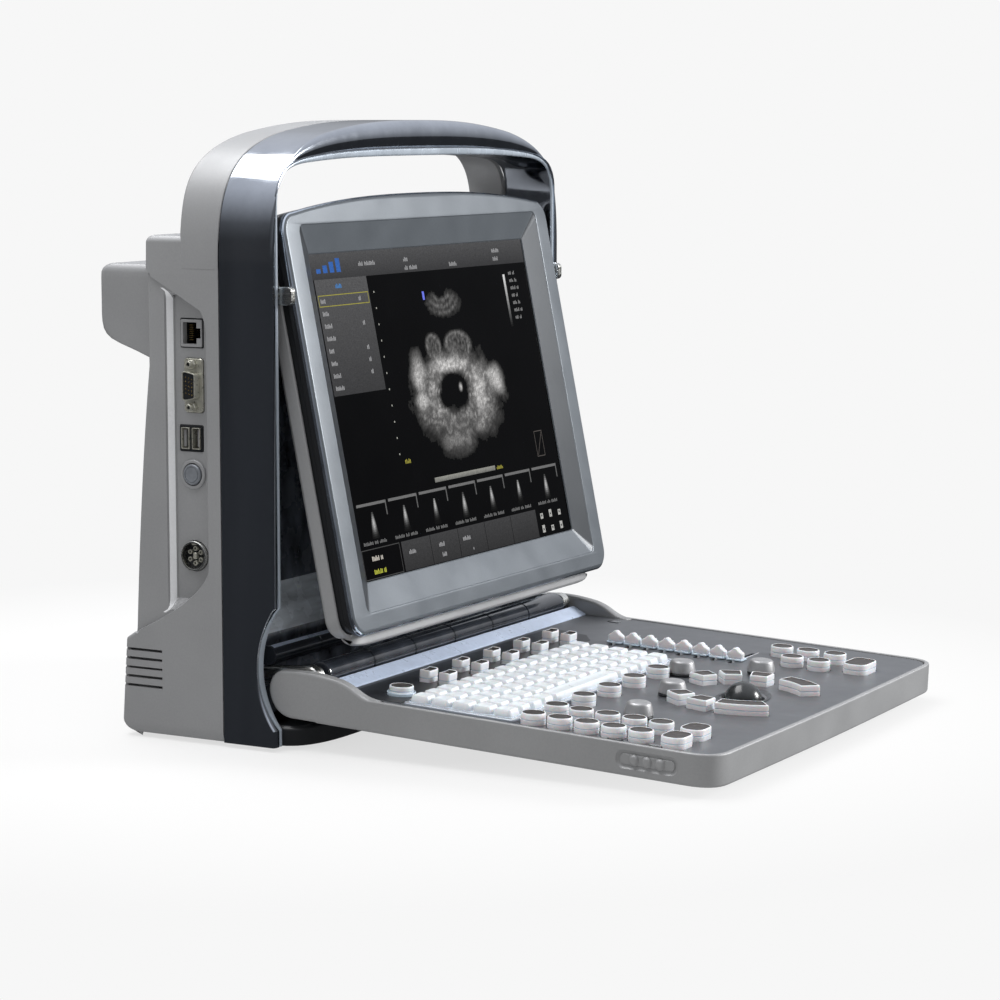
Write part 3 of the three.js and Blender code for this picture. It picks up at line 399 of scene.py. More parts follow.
PICTURE = picture_material()
KEY_WHITE = (Finish("key_white_plastic", (0.70, 0.71, 0.74), 0.32, Subsurface_Weight=0.12)
             .mottle(60, 0.96, 1.02).mottle(900, 0.98, 1.01).polish(160, 0.26, 0.4)
             .grain(2200, 0.01, 0.3).material)
KEY_SEAM = (Finish("key_clear_seam", (0.55, 0.66, 0.76), 0.2, Coat_Weight=0.5)
            .mottle(200, 0.85, 1.1).polish(160, 0.15, 0.3).grain(1500, 0.01, 0.2).material)
KEY_DARK = (Finish("key_dark_dish", (0.036, 0.031, 0.028), 0.42, Specular_IOR_Level=0.3)
            .mottle(300, 0.75, 1.35).polish(300, 0.3, 0.5).grain(1800, 0.015, 0.3).material)
KNOB_METAL = (Finish("knob_metal", (0.36, 0.36, 0.365), 0.45, 0.6).mottle(150, 0.85, 1.1)
              .polish(300, 0.38, 0.52, (1, 1, 0.1)).grain(1400, 0.01, 0.3, (1, 1, 0.05)).material)
BALL_BLACK = (Finish("ball_black", (0.022, 0.024, 0.025), 0.2).mottle(120, 0.7, 1.4).polish(200, 0.14, 0.28)
              .grain(900, 0.008, 0.3).material)
CUP_BLACK = (Finish("cup_graphite", (0.05, 0.053, 0.058), 0.42, 0.2).mottle(120, 0.8, 1.2)
             .polish(300, 0.35, 0.5).grain(2000, 0.012, 0.3).material)
# Clear trim round the typing keys, with its colour lightened as a painted reflection.
CLEAR_TRIM_PAINTED_REFLECTION = (Finish("clear_trim_painted_reflection", (0.44, 0.48, 0.54), 0.16, 0.35, Coat_Weight=0.6).mottle(90, 0.8, 1.15)
              .polish(120, 0.12, 0.24).grain(700, 0.01, 0.2).material)
WELL_BLACK = (Finish("well_black", (0.075, 0.085, 0.105), 0.3, Specular_IOR_Level=0.5)
              .mottle(75, 0.2, 2.0, (1, 1, 0.55), 4.0).polish(90, 0.1, 0.4).grain(120, 0.1, 0.3).material)
CREAM_METAL = (Finish("cream_plated_metal", (0.62, 0.61, 0.53), 0.3, 0.7).mottle(250, 0.85, 1.08)
               .polish(500, 0.24, 0.4).grain(1400, 0.01, 0.3).material)
GOLD = (Finish("gold_contact", (0.72, 0.52, 0.22), 0.25, 1.0).mottle(500, 0.8, 1.1)
        .polish(900, 0.18, 0.34).grain(2500, 0.005, 0.3).material)
BUTTON_GREY = (Finish("button_grey", (0.22, 0.235, 0.26), 0.34, 0.3).mottle(300, 0.85, 1.1)
               .polish(500, 0.28, 0.42).grain(2200, 0.01, 0.3).material)
BOARD = (Finish("circuit_board", (0.02, 0.11, 0.05), 0.45).mottle(500, 0.6, 1.5, (1, 1, 1), 1.0)
         .polish(400, 0.3, 0.6).grain(700, 0.05, 0.4).material)


# ---- the chrome frame ----------------------------------------------------------------------------
LEG = 8.5                                # thickness of a leg, and height of the handle's bar
GRIP = 20.5
ARCH_DROP = 78                           # the arch starts to bend this far below the handle's top
HALF_POINTS = 56                         # points round each half of the arch
FRAME_BACK = 34.0
ARCH_BACK = 61.0
ARCH_PROUD = 0.06                        # the arch laps over the sides of the housing by this much
SCOOP = (-43.7, 43.5, 55.5)              # y, z and radius of the round cut-out beside the ears


def outer_arch(half, top):
    """The left half of the outer arch, from the start of the shoulder to the middle of the handle."""
    shoulder = bezier((-half, top - ARCH_DROP), (-half, top - 34), (-half + 16, top - 16),
                      (-half + 62, top - 7), 30)
    return shoulder + bezier((-half + 62, top - 7), (-half + 100, top - 1), (-40, top), (0, top), 16)[1:]


def inner_arch(half, top):
    """The same for the edge of the handle's window."""
    corner = bezier((-half, top - 26), (-half, top - 10), (-half + 8, top - 5), (-half + 28, top - 3), 20)
    return corner + bezier((-half + 28, top - 3), (-half + 70, top), (-60, top), (0, top), 20)[1:]


def walk(points, count):
    """The given number of evenly spaced points along a path."""
    lengths = [0.0]
    for a, b in zip(points, points[1:]):
        lengths.append(lengths[-1] + math.dist(a, b))
    found = []
    k = 0
    for i in range(count):
        goal = lengths[-1] * i / (count - 1)
        while k < len(points) - 2 and lengths[k + 1] < goal:
            k += 1
        t = (goal - lengths[k]) / (lengths[k + 1] - lengths[k])
        found.append((points[k][0] + t * (points[k + 1][0] - points[k][0]),
                      points[k][1] + t * (points[k + 1][1] - points[k][1])))
    return found


def scoop_front(z):
    """How far back the leg's front edge lies at a height, because of the round cut-out."""
    y, middle, r = SCOOP
    reach = r * r - (z - middle) ** 2
    return max(0.0, y + math.sqrt(reach)) if reach > 0 else 0.0


def arch_stations(outer_half, inner_half, inner_top, heights):
    """Pairs of outer and inner points round the whole arch, from the left foot to the right one."""
    start = HANDLE_TOP - ARCH_DROP
    pairs = [((-outer_half, z), (-inner_half, z)) for z in heights if z < start]
    outer = walk(outer_arch(outer_half, HANDLE_TOP), HALF_POINTS)
    inner = walk([(-inner_half, start)] + inner_arch(inner_half, inner_top), HALF_POINTS)
    pairs += list(zip(outer, inner))
    return pairs + [((-a[0], a[1]), (-b[0], b[1])) for a, b in pairs[-2::-1]]


LIP_POINTS = (16, 24)                    # points of the frame section round its inner lip, which takes the painted highlight


def frame_section(thick, front):
    """One cross-section: u runs from the outer face inwards and v from the front to the back.

    A rounded brow falls to a shallow groove, with a lip inside it that is wider beside the cut-out.
    """
    extra = thick - LEG
    lip = 2.6 + 0.12 * extra + min(2.6, 0.25 * front)
    crown = 0.35 + 0.14 * extra
    edge = 1.7 + 0.28 * extra
    face_end = thick - lip - 0.9
    middle = edge + (face_end - edge) * 0.4
    brow = bezier((0, edge), (0, edge * 0.45), (middle * 0.45, 0), (middle, 0), 8)
    points = [(u, v + front) for u, v in brow]
    for k in range(1, 6):
        t = k / 5
        points.append((middle + (face_end - middle) * t, front + crown * (1 - math.cos(t * math.pi / 2))))
    points += [(face_end + 0.25, front + crown + 1.3), (face_end + 0.65, front + crown + 1.3)]
    points += [(u, v + front) for u, v in arc(thick - lip + 0.7, 0.9, 0.7, 180, 270, 3)]
    points += [(u, v + front) for u, v in arc(thick - 1.2, 1.4, 1.2, 270, 360, 4)]
    return points + [(thick, FRAME_BACK - 0.5), (thick - 0.5, FRAME_BACK), (0.5, FRAME_BACK),
                     (0, FRAME_BACK - 0.5)]


def arch_section(thick, _):
    """The silver arch behind the frame: square in front, well rounded behind."""
    front = FRAME_BACK + 0.3
    back = ARCH_BACK
    outer_r = min(9.0, thick * 0.3)
    slope = bezier((thick, front + 5), (thick, front + 14), (thick * 0.5, back), (outer_r, back), 12)
    points = [(0.4, front), (thick - 0.4, front), (thick, front + 0.4)] + slope
    return points + arc(outer_r, back - outer_r, outer_r, 90, 180, 8)[1:] + [(0, front + 0.4)]


def swept_arch(shape, stations, section, lip=None):
    """Sweeps a section round the arch; lip gives the section's points that take the second material."""
    loops = []
    for outer, inner in stations:
        across = Vector((inner[0] - outer[0], inner[1] - outer[1]))
        thick = across.length
        across.normalize()
        loops.append([(outer[0] + u * across.x, v, outer[1] + u * across.y)
                      for u, v in section(thick, scoop_front(outer[1]))])
    rings = shape.loft(loops)
    if lip:
        for a, b in zip(rings, rings[1:]):
            for face in shape.faces_between(a[lip[0]:lip[1]], b[lip[0]:lip[1]]):
                face.material_index = 1


def build_frame():
    y, middle, r = SCOOP
    half_span = math.sqrt(r * r - y * y)
    low, high = middle - half_span, middle + half_span
    heights = [0.0, low - 0.4] + [low + (high - low) * k / 24 for k in range(25)]
    heights += [high + 0.4, 120, 170, 220, 250]
    chrome = Shape(UPRIGHT)
    stations = arch_stations(CASE_HALF, CASE_HALF - LEG, HANDLE_TOP - GRIP, heights)
    swept_arch(chrome, stations, frame_section, LIP_POINTS)
    chrome.piece("frame_arch", "main_unit", "gunmetal_chrome", [CHROME, FRAME_LIP_PAINTED_HIGHLIGHT], ["front_frame"], 30)


# ---- the silver housing --------------------------------------------------------------------------
SHOULDER = 281.0                         # height of the housing's top, and its depth at three heights
REAR_Y = 84.0
WAIST_Y = 95.0
FOOT_Y = 104.0
LEAN_Z = 266.0                           # above this the housing leans in under the arch
CORNER = 3.6                             # radius of the upright corners
VENT = {"count": 5, "low": 26.4, "pitch": 5.15, "height": 1.5, "front": 75.0}
GRILLE = {"count": 6, "low": 28.0, "pitch": 7.0, "height": 3.0, "x0": 72.0, "x1": 132.0}
ZONE = (57.0, 260.0)                     # heights of the inset zone round the ports
ZONE_DEPTH = 2.2                         # it lies this far below the side
ZONE_Y = 43.0
NOWHERE = 200.0                          # behind the housing
TROUGH_X = 158.5                         # the trough in the zone that holds the ports
TROUGH_BACK = 68.6
TROUGH = (76.0, 250.0)                   # heights between which its floor is open


def rear_profile():
    """(z, y, inset) up the back of the housing: a rounded foot, a step, a lean and a rounded shoulder."""
    rows = []
    for k in range(7):
        t = math.radians(15 * k)
        rows.append((7 * (1 - math.cos(t)), FOOT_Y - 9 * (1 - math.sin(t)), 2.5 * (1 - math.sin(t))))
    rows += [(52.6, FOOT_Y - 3.2, 0.0), (53.6, FOOT_Y - 3.5, 0.0), (54.3, FOOT_Y - 4.3, 0.0)]
    rows += [(56.6, WAIST_Y + 1.0, 0.0), (57.6, WAIST_Y + 0.2, 0.0), (59.0, WAIST_Y, 0.0)]
    curve = bezier((WAIST_Y - 0.1, 60), (REAR_Y + 8.2, 120), (REAR_Y + 4.3, 170), (REAR_Y, 208), 12)
    rows += [(z, y, 0.0) for y, z in curve]
    for k in range(7):
        t = math.radians(15 * k)
        edge = 4 * (1 - math.cos(t))
        rows.append((SHOULDER - 4 * (1 - math.sin(t)), REAR_Y - edge, edge))
    return rows


def zone_front(z):
    """Where the inset port zone starts at a height: it curves back below and slants back above."""
    if z <= ZONE[0] or z >= ZONE[1]:
        return NOWHERE
    if z < 97:
        return ZONE_Y + 52 * ((97 - z) / 40) ** 1.7
    if z < 226:
        return ZONE_Y
    if z < 240:
        return ZONE_Y + 3.6 * ((z - 226) / 14) ** 2
    return ZONE_Y + 3.6 + (z - 240) * 1.82


def trough_front(z):
    return zone_front(z) + 3.2


def housing_rows():
    """Every height at which the housing has a row of corners, with its profile there."""
    base = rear_profile()
    wanted = {z for z, _, _ in base} | {58 + 2 * k for k in range(20)} | {140, 170, 200}
    wanted |= {222 + 2 * k for k in range(19)}
    wanted |= {ZONE[0] - 0.1, ZONE[0] + 0.3, ZONE[1] - 0.3, ZONE[1] + 0.1}
    for item in (VENT, GRILLE):
        for z in slot_starts(item):
            wanted |= {z, z + item["height"]}
    rows = []
    for z in sorted(wanted):
        if rows and z - rows[-1][0] < 0.25:
            continue
        k = max(i for i, row in enumerate(base) if row[0] <= z + 1e-9)
        a, b = base[k], base[min(k + 1, len(base) - 1)]
        t = (z - a[0]) / (b[0] - a[0]) if b[0] > a[0] else 0.0
        rows.append((z, a[1] + t * (b[1] - a[1]), a[2] + t * (b[2] - a[2])))
    return rows


def housing_section(z, back, edge):
    """Corners across one row, from the left front seam round the back to the middle line."""
    deep = ZONE[0] + 0.1 < z < ZONE[1] - 0.1
    step = ZONE_DEPTH if deep else 0.0
    lean = 0.1 + 0.75 * ((z - LEAN_Z) / 15) ** 2 if z > LEAN_Z else 0.0
    side = CASE_HALF - edge - lean
    corner_start = back - CORNER
    front = min(zone_front(z), corner_start - 0.2)
    low = side - step
    open_width = TROUGH_BACK - trough_front(z)
    depth = (low - TROUGH_X) * max(0.0, min(1.0, open_width / 7)) if deep else 0.0
    a = min(front + 0.9, corner_start - 0.15)
    b = min(max(trough_front(z), a + 0.1), corner_start - 0.1)
    c = max(b, min(TROUGH_BACK, corner_start - 0.08)) if deep else b
    d = min(max(c + 3.2, b), corner_start - 0.02)
    vent = min(VENT["front"], front - 1)
    points = [(-side, FRAME_BACK + 0.3), (-side, vent), (-side, front - 0.5), (-side + 0.25 * step, front),
              (-low, a), (-low + depth * 0.35, a + (b - a) * 0.45), (-low + depth * 0.8, a + (b - a) * 0.8),
              (-low + depth, b), (-low + depth, c), (-low + depth * 0.9, c + (d - c) * 0.25),
              (-low + depth * 0.2, c + (d - c) * 0.8), (-low, d)]
    points += [(-low + CORNER + x, corner_start + y) for x, y in arc(0, 0, CORNER, 180, 90, 8)]
    return points + [(x, back) for x in (-GRILLE["x1"], -GRILLE["x0"], 0)]


TROUGH_COLUMN = 7                        # columns of faces: the open trough floor,
WALL_COLUMN = 9                          # the wall behind it, painted light as a highlight,
VENT_COLUMNS = (1, 18)                   # and the side with its vents, as far as the corner


def slot_starts(item):
    return [item["low"] + k * item["pitch"] for k in range(item["count"])]


def in_slot(item, z):
    return any(start < z < start + item["height"] for start in slot_starts(item))


def build_housing():
    """The shell is a grid of faces, with the openings left out, that then gets its wall."""
    shell = Shape(UPRIGHT)
    rows = housing_rows()
    rings = []
    for z, back, edge in rows:
        half = housing_section(z, back, edge)
        rings.append(shell.ring([(x, y, z) for x, y in half + [(-x, y) for x, y in half[-2::-1]]]))
    width = len(rings[0])
    grille_column = (width - 1) // 2 + 1
    for k in range(len(rows) - 1):
        low, high = rows[k][0], rows[k + 1][0]
        between = (low + high) / 2
        for i in range(width - 1):
            column = min(i, width - 2 - i)
            if column == TROUGH_COLUMN and TROUGH[0] < low and high < TROUGH[1]:
                continue
            if VENT_COLUMNS[0] <= column <= VENT_COLUMNS[1] and in_slot(VENT, between):
                continue
            if i == grille_column and in_slot(GRILLE, between):
                continue
            # the wall behind the trough takes the light silver as a painted highlight
            bright = int(column == WALL_COLUMN and TROUGH[0] - 8 < low < TROUGH[1] + 2)
            shell.face([rings[k][i], rings[k][i + 1], rings[k + 1][i + 1], rings[k + 1][i]], bright)
    shell.face(rings[-1])
    shell.piece("housing", "main_unit", "silver_plastic", [SILVER, SILVER_WALL_PAINTED_HIGHLIGHT], ["rear_shell"], 32, 2.0)
    arch = Shape(UPRIGHT)
    stations = arch_stations(CASE_HALF + ARCH_PROUD, CASE_HALF - LEG - 4, HANDLE_TOP - GRIP,
                             [SHOULDER - 18])
    swept_arch(arch, stations, arch_section)
    arch.piece("housing_arch", "main_unit", "silver_plastic", [SILVER], crease=32)


# ---- the screen ----------------------------------------------------------------------------------
GLASS_W, GLASS_H = 246.0, 184.5
BEZEL_HALF, BEZEL_LOW, BEZEL_CORNER, BEZEL_CROWN = 152.0, -28.0, 207.0, 216.0
BEZEL_FRONT = 6.5
OPENING = (-137.0, 137.0, -17.0, 201.0)
COVER_BACK = -14.5
COVER_CAVITY = (-144, 144, -21, 197)     # x0, x1, y0 and y1
COVER_VENTS = {"count": 9, "pitch": 14, "low": 150, "high": 178}
FOOT_ENDS = [(4.0, 141), (3.0, 140.5), (1.9, 138.5), (1.0, 135.5), (0.3, 131), (0, 125)]


def bezel_outline(r=12.0):
    """A rectangle with round corners and a gently arched top."""
    half, low, corner = BEZEL_HALF, BEZEL_LOW, BEZEL_CORNER
    top = bezier((half - r, corner + 1), (half * 0.6, BEZEL_CROWN - 1), (half * 0.3, BEZEL_CROWN),
                 (0, BEZEL_CROWN), 16)
    right = arc(half - r, low + r, r, -90, 0, 8) + arc(half - r, corner + 1 - r, r, 0, 84, 8) + top
    return right + [(-x, y) for x, y in right[::-1]]


def build_bezel():
    """The bezel: a dark and a bright edge, a flat face, and walls that fall to the glass."""
    bezel = Shape(SCREEN)
    outline = bezel_outline()
    trim = bezel.prism(outline, [(0.6, 0.3), (0.3, 0.7), (0.3, 3.3), (0.0, 3.6)], "z", 2, False, False)
    bright = bezel.prism(outline, [(0.0, 3.6), (0.0, 4.4), (0.35, 5.1), (1.1, 5.6)], "z", 1, False, False)
    bezel.bridge(trim[-1], bright[0], 1)
    face = bezel.prism(outline, [(1.1, 5.6), (1.9, 6.2), (2.8, BEZEL_FRONT)], "z", 0, False, False)
    bezel.bridge(bright[-1], face[0], 1)
    x0, x1, y0, y1 = OPENING
    half = GLASS_W / 2
    lips = [(0.0, BEZEL_FRONT, 5.0), (0.35, BEZEL_FRONT - 0.12, 4.7), (0.7, BEZEL_FRONT - 0.5, 4.4)]
    loops = [[(x, y, z) for x, y in rounded_rect(x0 + d, x1 - d, y0 + d, y1 - d, r)] for d, z, r in lips]
    loops.append([(x, y, 0.9) for x, y in rounded_rect(-half - 0.5, half + 0.5, -0.5, GLASS_H + 0.5, 1.2)])
    loops.append([(x, y, 0.3) for x, y in rounded_rect(-half, half, 0, GLASS_H, 1.0)])
    well = bezel.loft(loops, 0, False, False)
    for first in (3, 17):                # from the middle of one corner to the middle of the next; these side bevels take the darker paint as painted shade
        for side in bezel.faces_between(well[2][first:first + 8], well[3][first:first + 8]):
            side.material_index = 3
    bezel.fill([face[-1], well[0]])
    bezel.fill([trim[0], well[-1]])
    bmesh.ops.remove_doubles(bezel.bm, verts=bezel.bm.verts, dist=1e-4)
    bezel.piece("bezel", "screen", "bezel_paint", [BEZEL_BLUE, BEZEL_EDGE, BLACK, BEZEL_PAINTED_SHADE],
                ["screen_bezel"], crease=28)


def build_rear_cover():
    """The shell behind the bezel, with a rounded foot below it and a row of vents in its back."""
    cover = Shape(SCREEN)
    outline = bezel_outline()
    back = COVER_BACK
    skin = [(6.0, back), (3.4, back + 0.5), (1.6, back + 1.6), (0.4, back + 3.4), (0.4, -4.8), (0.8, -4.2),
            (1.6, -4.0)]
    outer = cover.prism(outline, skin, "z", 0, True, False)
    band = cover.prism(outline, [(1.6, -4.0), (2.4, -4.0), (2.4, -0.3)], "z", 1, False, False)
    cover.bridge(outer[-1], band[0])
    cavity = [cover.ring([(x, y, z) for x, y in rounded_rect(*COVER_CAVITY, 4)]) for z in (-0.3, -12)]
    cover.bridge(cavity[0], cavity[1])
    cover.face(cavity[1])
    cover.fill([band[-1], cavity[0]], 1)
    foot = arc(BEZEL_LOW + 2, back + 8, 8, 270, 180, 8) + [(BEZEL_LOW - 6, -3.5)]
    foot += arc(BEZEL_LOW - 4.2, -3.5, 1.8, 180, 90, 4) + [(BEZEL_LOW + 7, -1.7), (BEZEL_LOW + 7, back)]
    cover.prism(foot, [(d, -x) for d, x in FOOT_ENDS] + FOOT_ENDS[::-1], "x")
    vents = COVER_VENTS
    for k in range(vents["count"]):
        x = vents["pitch"] * (k - (vents["count"] - 1) / 2)
        slot = rounded_rect(x - 2, x + 2, vents["low"], vents["high"], 1.9)
        cover.bar(slot, back - 0.3, back + 0.6, "z", 1)
    cover.piece("screen_cover", "screen", "silver_plastic", [SILVER, BLACK], ["screen_rear_cover"], 32)


def build_glass():
    glass = Shape(SCREEN)
    glass.prism(rounded_rect(-126, 126, -3, GLASS_H + 3, 2), rounded(-6, 0, 0.4, 0.4), "z")
    glass.prism(rounded_rect(-110, 110, 20, 40, 2), rounded(-9, -5.5, 0.4, 0.4), "z")
    glass.piece("display_glass", "screen", "screen_glass", [SCREEN_GLASS], ["lcd_panel"])


# The picture is a flat mosaic just above the glass. Its colours are a colour attribute.
TEXT = (0.34, 0.34, 0.35)
BLUE = (0.03, 0.12, 0.42)
YELLOW = (0.34, 0.31, 0.05)


class Picture:
    """Coloured quads on the glass, in layers 0.01 mm apart."""

    def __init__(self):
        self.bm = bmesh.new()
        self.layer = self.bm.loops.layers.float_color.new("shade")

    def quad(self, corners, colours, height):
        face = self.bm.faces.new([self.bm.verts.new((x, y, height)) for x, y in corners])
        for loop, colour in zip(face.loops, colours):
            loop[self.layer] = (*colour, 1)

    def block(self, x0, x1, y0, y1, colour, layer=1, low=None):
        """A filled rectangle, with another colour at its foot if asked."""
        low = low or colour
        self.quad([(x0, y0), (x1, y0), (x1, y1), (x0, y1)], [low, low, colour, colour], 0.02 + 0.01 * layer)

    def frame(self, x0, x1, y0, y1, colour, line=0.5, layer=3):
        for a, b, c, d in ((x0, x1, y0, y0 + line), (x0, x1, y1 - line, y1), (x0, x0 + line, y0, y1),
                           (x1 - line, x1, y0, y1)):
            self.block(a, b, c, d, colour, layer)

    def words(self, x, y, lengths, colour=TEXT, size=2.6):
        """Made-up writing: a row of small bars that spells nothing."""
        for k, length in enumerate(lengths):
            for bar in range(length):
                tall = size * (0.55 + 0.45 * abs(math.sin(3.1 * bar + 1.7 * k + x)))
                self.block(x, x + 0.85, y, y + tall, colour, 4)
                x += 1.3
            x += 1.4


# Ovals of the scan: x, y, half width and half height, and for the bright spots their power.
ECHO_LUMPS = ((-5, 125, 9, 8), (24, 124, 16, 9))
ECHO_SPOTS = ((-27, 112, 10, 14, 0.50), (62, 100, 11, 12, 0.55), (7, 113, 26, 5, 0.40),
              (40, 92, 9, 18, 0.34), (32, 74, 10, 6, 0.30), (18.3, 99, 2.4, 3.2, 0.6),
              (-30, 94, 9, 6, 0.38))
PROBE_CENTRE = (13, 171)                 # the echoes' bands lie round this point
SCAN_CELL = 0.9
SCAN_COLUMNS, SCAN_ROWS = 172, 132
SCAN_CORNER = (-62.0, 50.0)
DARKEST = 0.012                          # cells darker than this are left out


def smooth(value, low, high):
    """0 at low, 1 at high and an even curve between them."""
    t = max(0.0, min(1.0, (value - low) / (high - low)))
    return t * t * (3 - 2 * t)


def oval(x, y, cx, cy, rx, ry):
    """Distance from an oval's centre, 1 on its edge."""
    return math.hypot((x - cx) / rx, (y - cy) / ry)


def echo(x, y):
    """Brightness of the scan at a point of the glass: a near fan, two lumps and a mass round a void."""
    wave = noise.noise(Vector((x * 0.16, y * 0.16, 0.0)))
    fine = noise.noise(Vector((x * 0.55 + wave, y * 0.42, 4.0)))
    speck = noise.noise(Vector((x * 1.7, y * 1.3, 9.0)))
    wobble = 0.10 * noise.noise(Vector((x * 0.09, y * 0.09, 2.0))) + 0.05 * fine
    reach = math.dist((x, y), PROBE_CENTRE)
    near = smooth(oval(x, y, 15, 150, 22, 9), 1.1, 0.5) * (0.5 + 0.5 * math.sin(reach * 0.75) ** 2) * 0.20
    near *= 0.7 + 0.8 * fine
    near *= smooth(oval(x, y, 13, 162, 9, 9) + wobble, 0.8, 1.2)
    lumps = 0.0
    for lump in ECHO_LUMPS:
        d = oval(x, y, *lump) + wobble
        rind = 0.10 + 0.10 * smooth(abs(d - 0.92), 0.3, 0.0)
        lumps = max(lumps, smooth(d, 1.15, 0.8) * rind * (1 + 1.3 * fine))
    body = oval(x, y, 14, 92, 54, 33) + 1.8 * wobble
    void = oval(x, y, 10, 97, 18, 12.5) + 1.1 * wobble
    mass = smooth(body, 1.1, 0.55) * smooth(void, 0.85, 1.25)
    bands = 0.5 + 0.5 * math.sin(0.62 * reach + 5 * wave + 0.08 * x)
    mass *= 0.13 + 0.30 * bands * smooth(fine, -0.5, 0.5)
    for *spot, power in ECHO_SPOTS:
        mass += power * smooth(oval(x, y, *spot) + 2.2 * wobble, 1.1, 0.2) * (0.7 + 0.5 * fine)
    tail = smooth(oval(x, y, 6, 72, 26, 16) + wobble, 1.15, 0.3) * (0.12 + 0.14 * bands)
    deep = smooth(y, 50, 84)
    value = max(near, lumps, mass * smooth(y, 60, 100) + 0.5 * mass * deep, tail)
    return 0.72 * max(0.0, value * (1 + 0.6 * speck)) * smooth(y, 52, 66)


def build_scan(picture):
    step = SCAN_CELL
    x0, y0 = SCAN_CORNER
    values = [[echo(x0 + step * i, y0 + step * j) for i in range(SCAN_COLUMNS + 1)]
              for j in range(SCAN_ROWS + 1)]
    for j in range(SCAN_ROWS):
        for i in range(SCAN_COLUMNS):
            shades = (values[j][i], values[j][i + 1], values[j + 1][i + 1], values[j + 1][i])
            if max(shades) < DARKEST:
                continue
            x, y = x0 + step * i, y0 + step * j
            corners = [(x, y), (x + step, y), (x + step, y + step), (x, y + step)]
            picture.quad(corners, [(s, s * 0.985, s * 0.97) for s in shades], 0.03)


def build_menus(picture):
    half, top = GLASS_W / 2, GLASS_H
    picture.block(-half, half, 170, top, (0.075, 0.075, 0.078), 1, (0.035, 0.035, 0.037))
    for k in range(4):
        picture.block(-117 + 7 * k, -112.5 + 7 * k, 173.5, 176 + 1.8 * k, BLUE, 3)
    for x, y, lengths in ((-72, 176, (4, 9)), (-22, 176.5, (4,)), (-22, 171.5, (3, 7)), (30, 171.5, (7,)),
                          (84, 177.5, (7,)), (84, 172.5, (5,))):
        picture.words(x, y, lengths)
    picture.block(-121, -66, 104.5, 170, (0.085, 0.085, 0.088), 2, (0.038, 0.038, 0.04))
    picture.words(-100, 164.5, (5,), (0.05, 0.22, 0.55))
    for k in range(8):
        y = 156.5 - 7.0 * k
        picture.words(-118, y, (4 + (k * 5) % 4,))
        if k % 2 == 0 or k == 5:
            picture.words(-78, y, (2,))
    picture.frame(-120, -67, 154.6, 161.2, YELLOW)
    for k in range(11):
        picture.block(-61 - 0.3 * k, -60 - 0.3 * k, 160 - 9.4 * k, 161 - 9.4 * k, (0.4, 0.4, 0.36), 3)
    picture.block(-7.5, -5.2, 153, 158, (0.16, 0.2, 0.85), 3)
    for k in range(24):
        shade = 0.7 * (1 - k / 24) ** 1.5
        picture.block(92.5, 95, 163.5 - 1.35 * (k + 1), 163.5 - 1.35 * k, (shade,) * 3, 3)
    for k in range(7):
        picture.words(100, 163 - 4.6 * k, (3 + k % 3, 2), (0.24, 0.24, 0.24), 2.2)
    picture.words(-59, 60.5, (5,), YELLOW)
    picture.frame(97, 107, 49, 65, (0.09, 0.08, 0.075))
    picture.quad([(98, 50), (98.6, 50), (106.6, 64), (106, 64)], [(0.09, 0.08, 0.075)] * 4, 0.05)
    picture.block(-30, 42, 46.4, 49.2, (0.30, 0.30, 0.27), 3, (0.16, 0.16, 0.15))
    picture.words(44, 46.6, (6,), YELLOW, 2.2)


def build_strip(picture):
    """Seven small views, the soft menu below them and a few icons."""
    for k in range(7):
        x = -119 + 34.2 * k
        picture.block(x, x + 31.5, 41.4, 43.0, (0.16, 0.16, 0.16), 2)
        picture.block(x + 30.4, x + 31.5, 34.5, 43.0, (0.12, 0.12, 0.12), 2)
        for i in range(12):
            y = 37.6 - 1.25 * i
            spread = 1.2 + 0.25 * i
            shade = 0.55 * math.exp(-((i - 4.5 + (k % 3)) / 3.2) ** 2)
            middle = [(shade,) * 3, (shade,) * 3]
            edge = (0.0, 0.0, 0.0)
            cx = x + 15 + 0.8 * math.sin(k)
            picture.quad([(cx - spread, y - 1.25), (cx, y - 1.25), (cx, y), (cx - spread, y)],
                         [edge, *middle, edge], 0.05)
            picture.quad([(cx, y - 1.25), (cx + spread, y - 1.25), (cx + spread, y), (cx, y)],
                         [middle[0], edge, edge, middle[1]], 0.05)
        picture.words(x + 1, 19.6, (8, 3, 6), (0.17, 0.17, 0.17), 2.0)
    for k in range(5):
        x = -79 + 32.2 * k
        picture.block(x, x + 31.8, 0.4, 17.5, (0.05, 0.05, 0.052), 2, (0.03, 0.03, 0.031))
    for x, y, lengths in ((-72, 9.5, (6,)), (-38, 9.5, (5,)), (-36, 3.5, (4,)), (-10, 9.5, (7,)),
                          (0, 3, (1,))):
        picture.words(x, y, lengths)
    picture.frame(-122, -81, 0.5, 17.5, (0.06, 0.06, 0.06))
    picture.words(-112, 10.5, (6, 2), (0.62, 0.58, 0.52), 2.8)
    picture.words(-112, 3.0, (7, 2), (0.48, 0.50, 0.06), 2.8)
    for i in range(3):
        for j in range(2):
            x, y = 87 + 11.5 * i, 11.0 - 8.6 * j
            tall = 3.4 + (i + j) % 2 * 1.2
            picture.block(x, x + 3.4, y, y + tall, (0.46, 0.46, 0.44), 3)
            picture.block(x + 1, x + 2.4, y + 1.4, y + 2.6, (0.05, 0.05, 0.05), 4)


def build_picture():
    picture = Picture()
    build_scan(picture)
    build_menus(picture)
    build_strip(picture)
    picture.bm.transform(SCREEN)
    made = add_mesh("display_picture", picture.bm)
    picture.bm.free()
    made.data.materials.append(PICTURE)
    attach(made, "screen")


def build_screen():
    build_bezel()
    build_rear_cover()
    build_glass()
    build_picture()


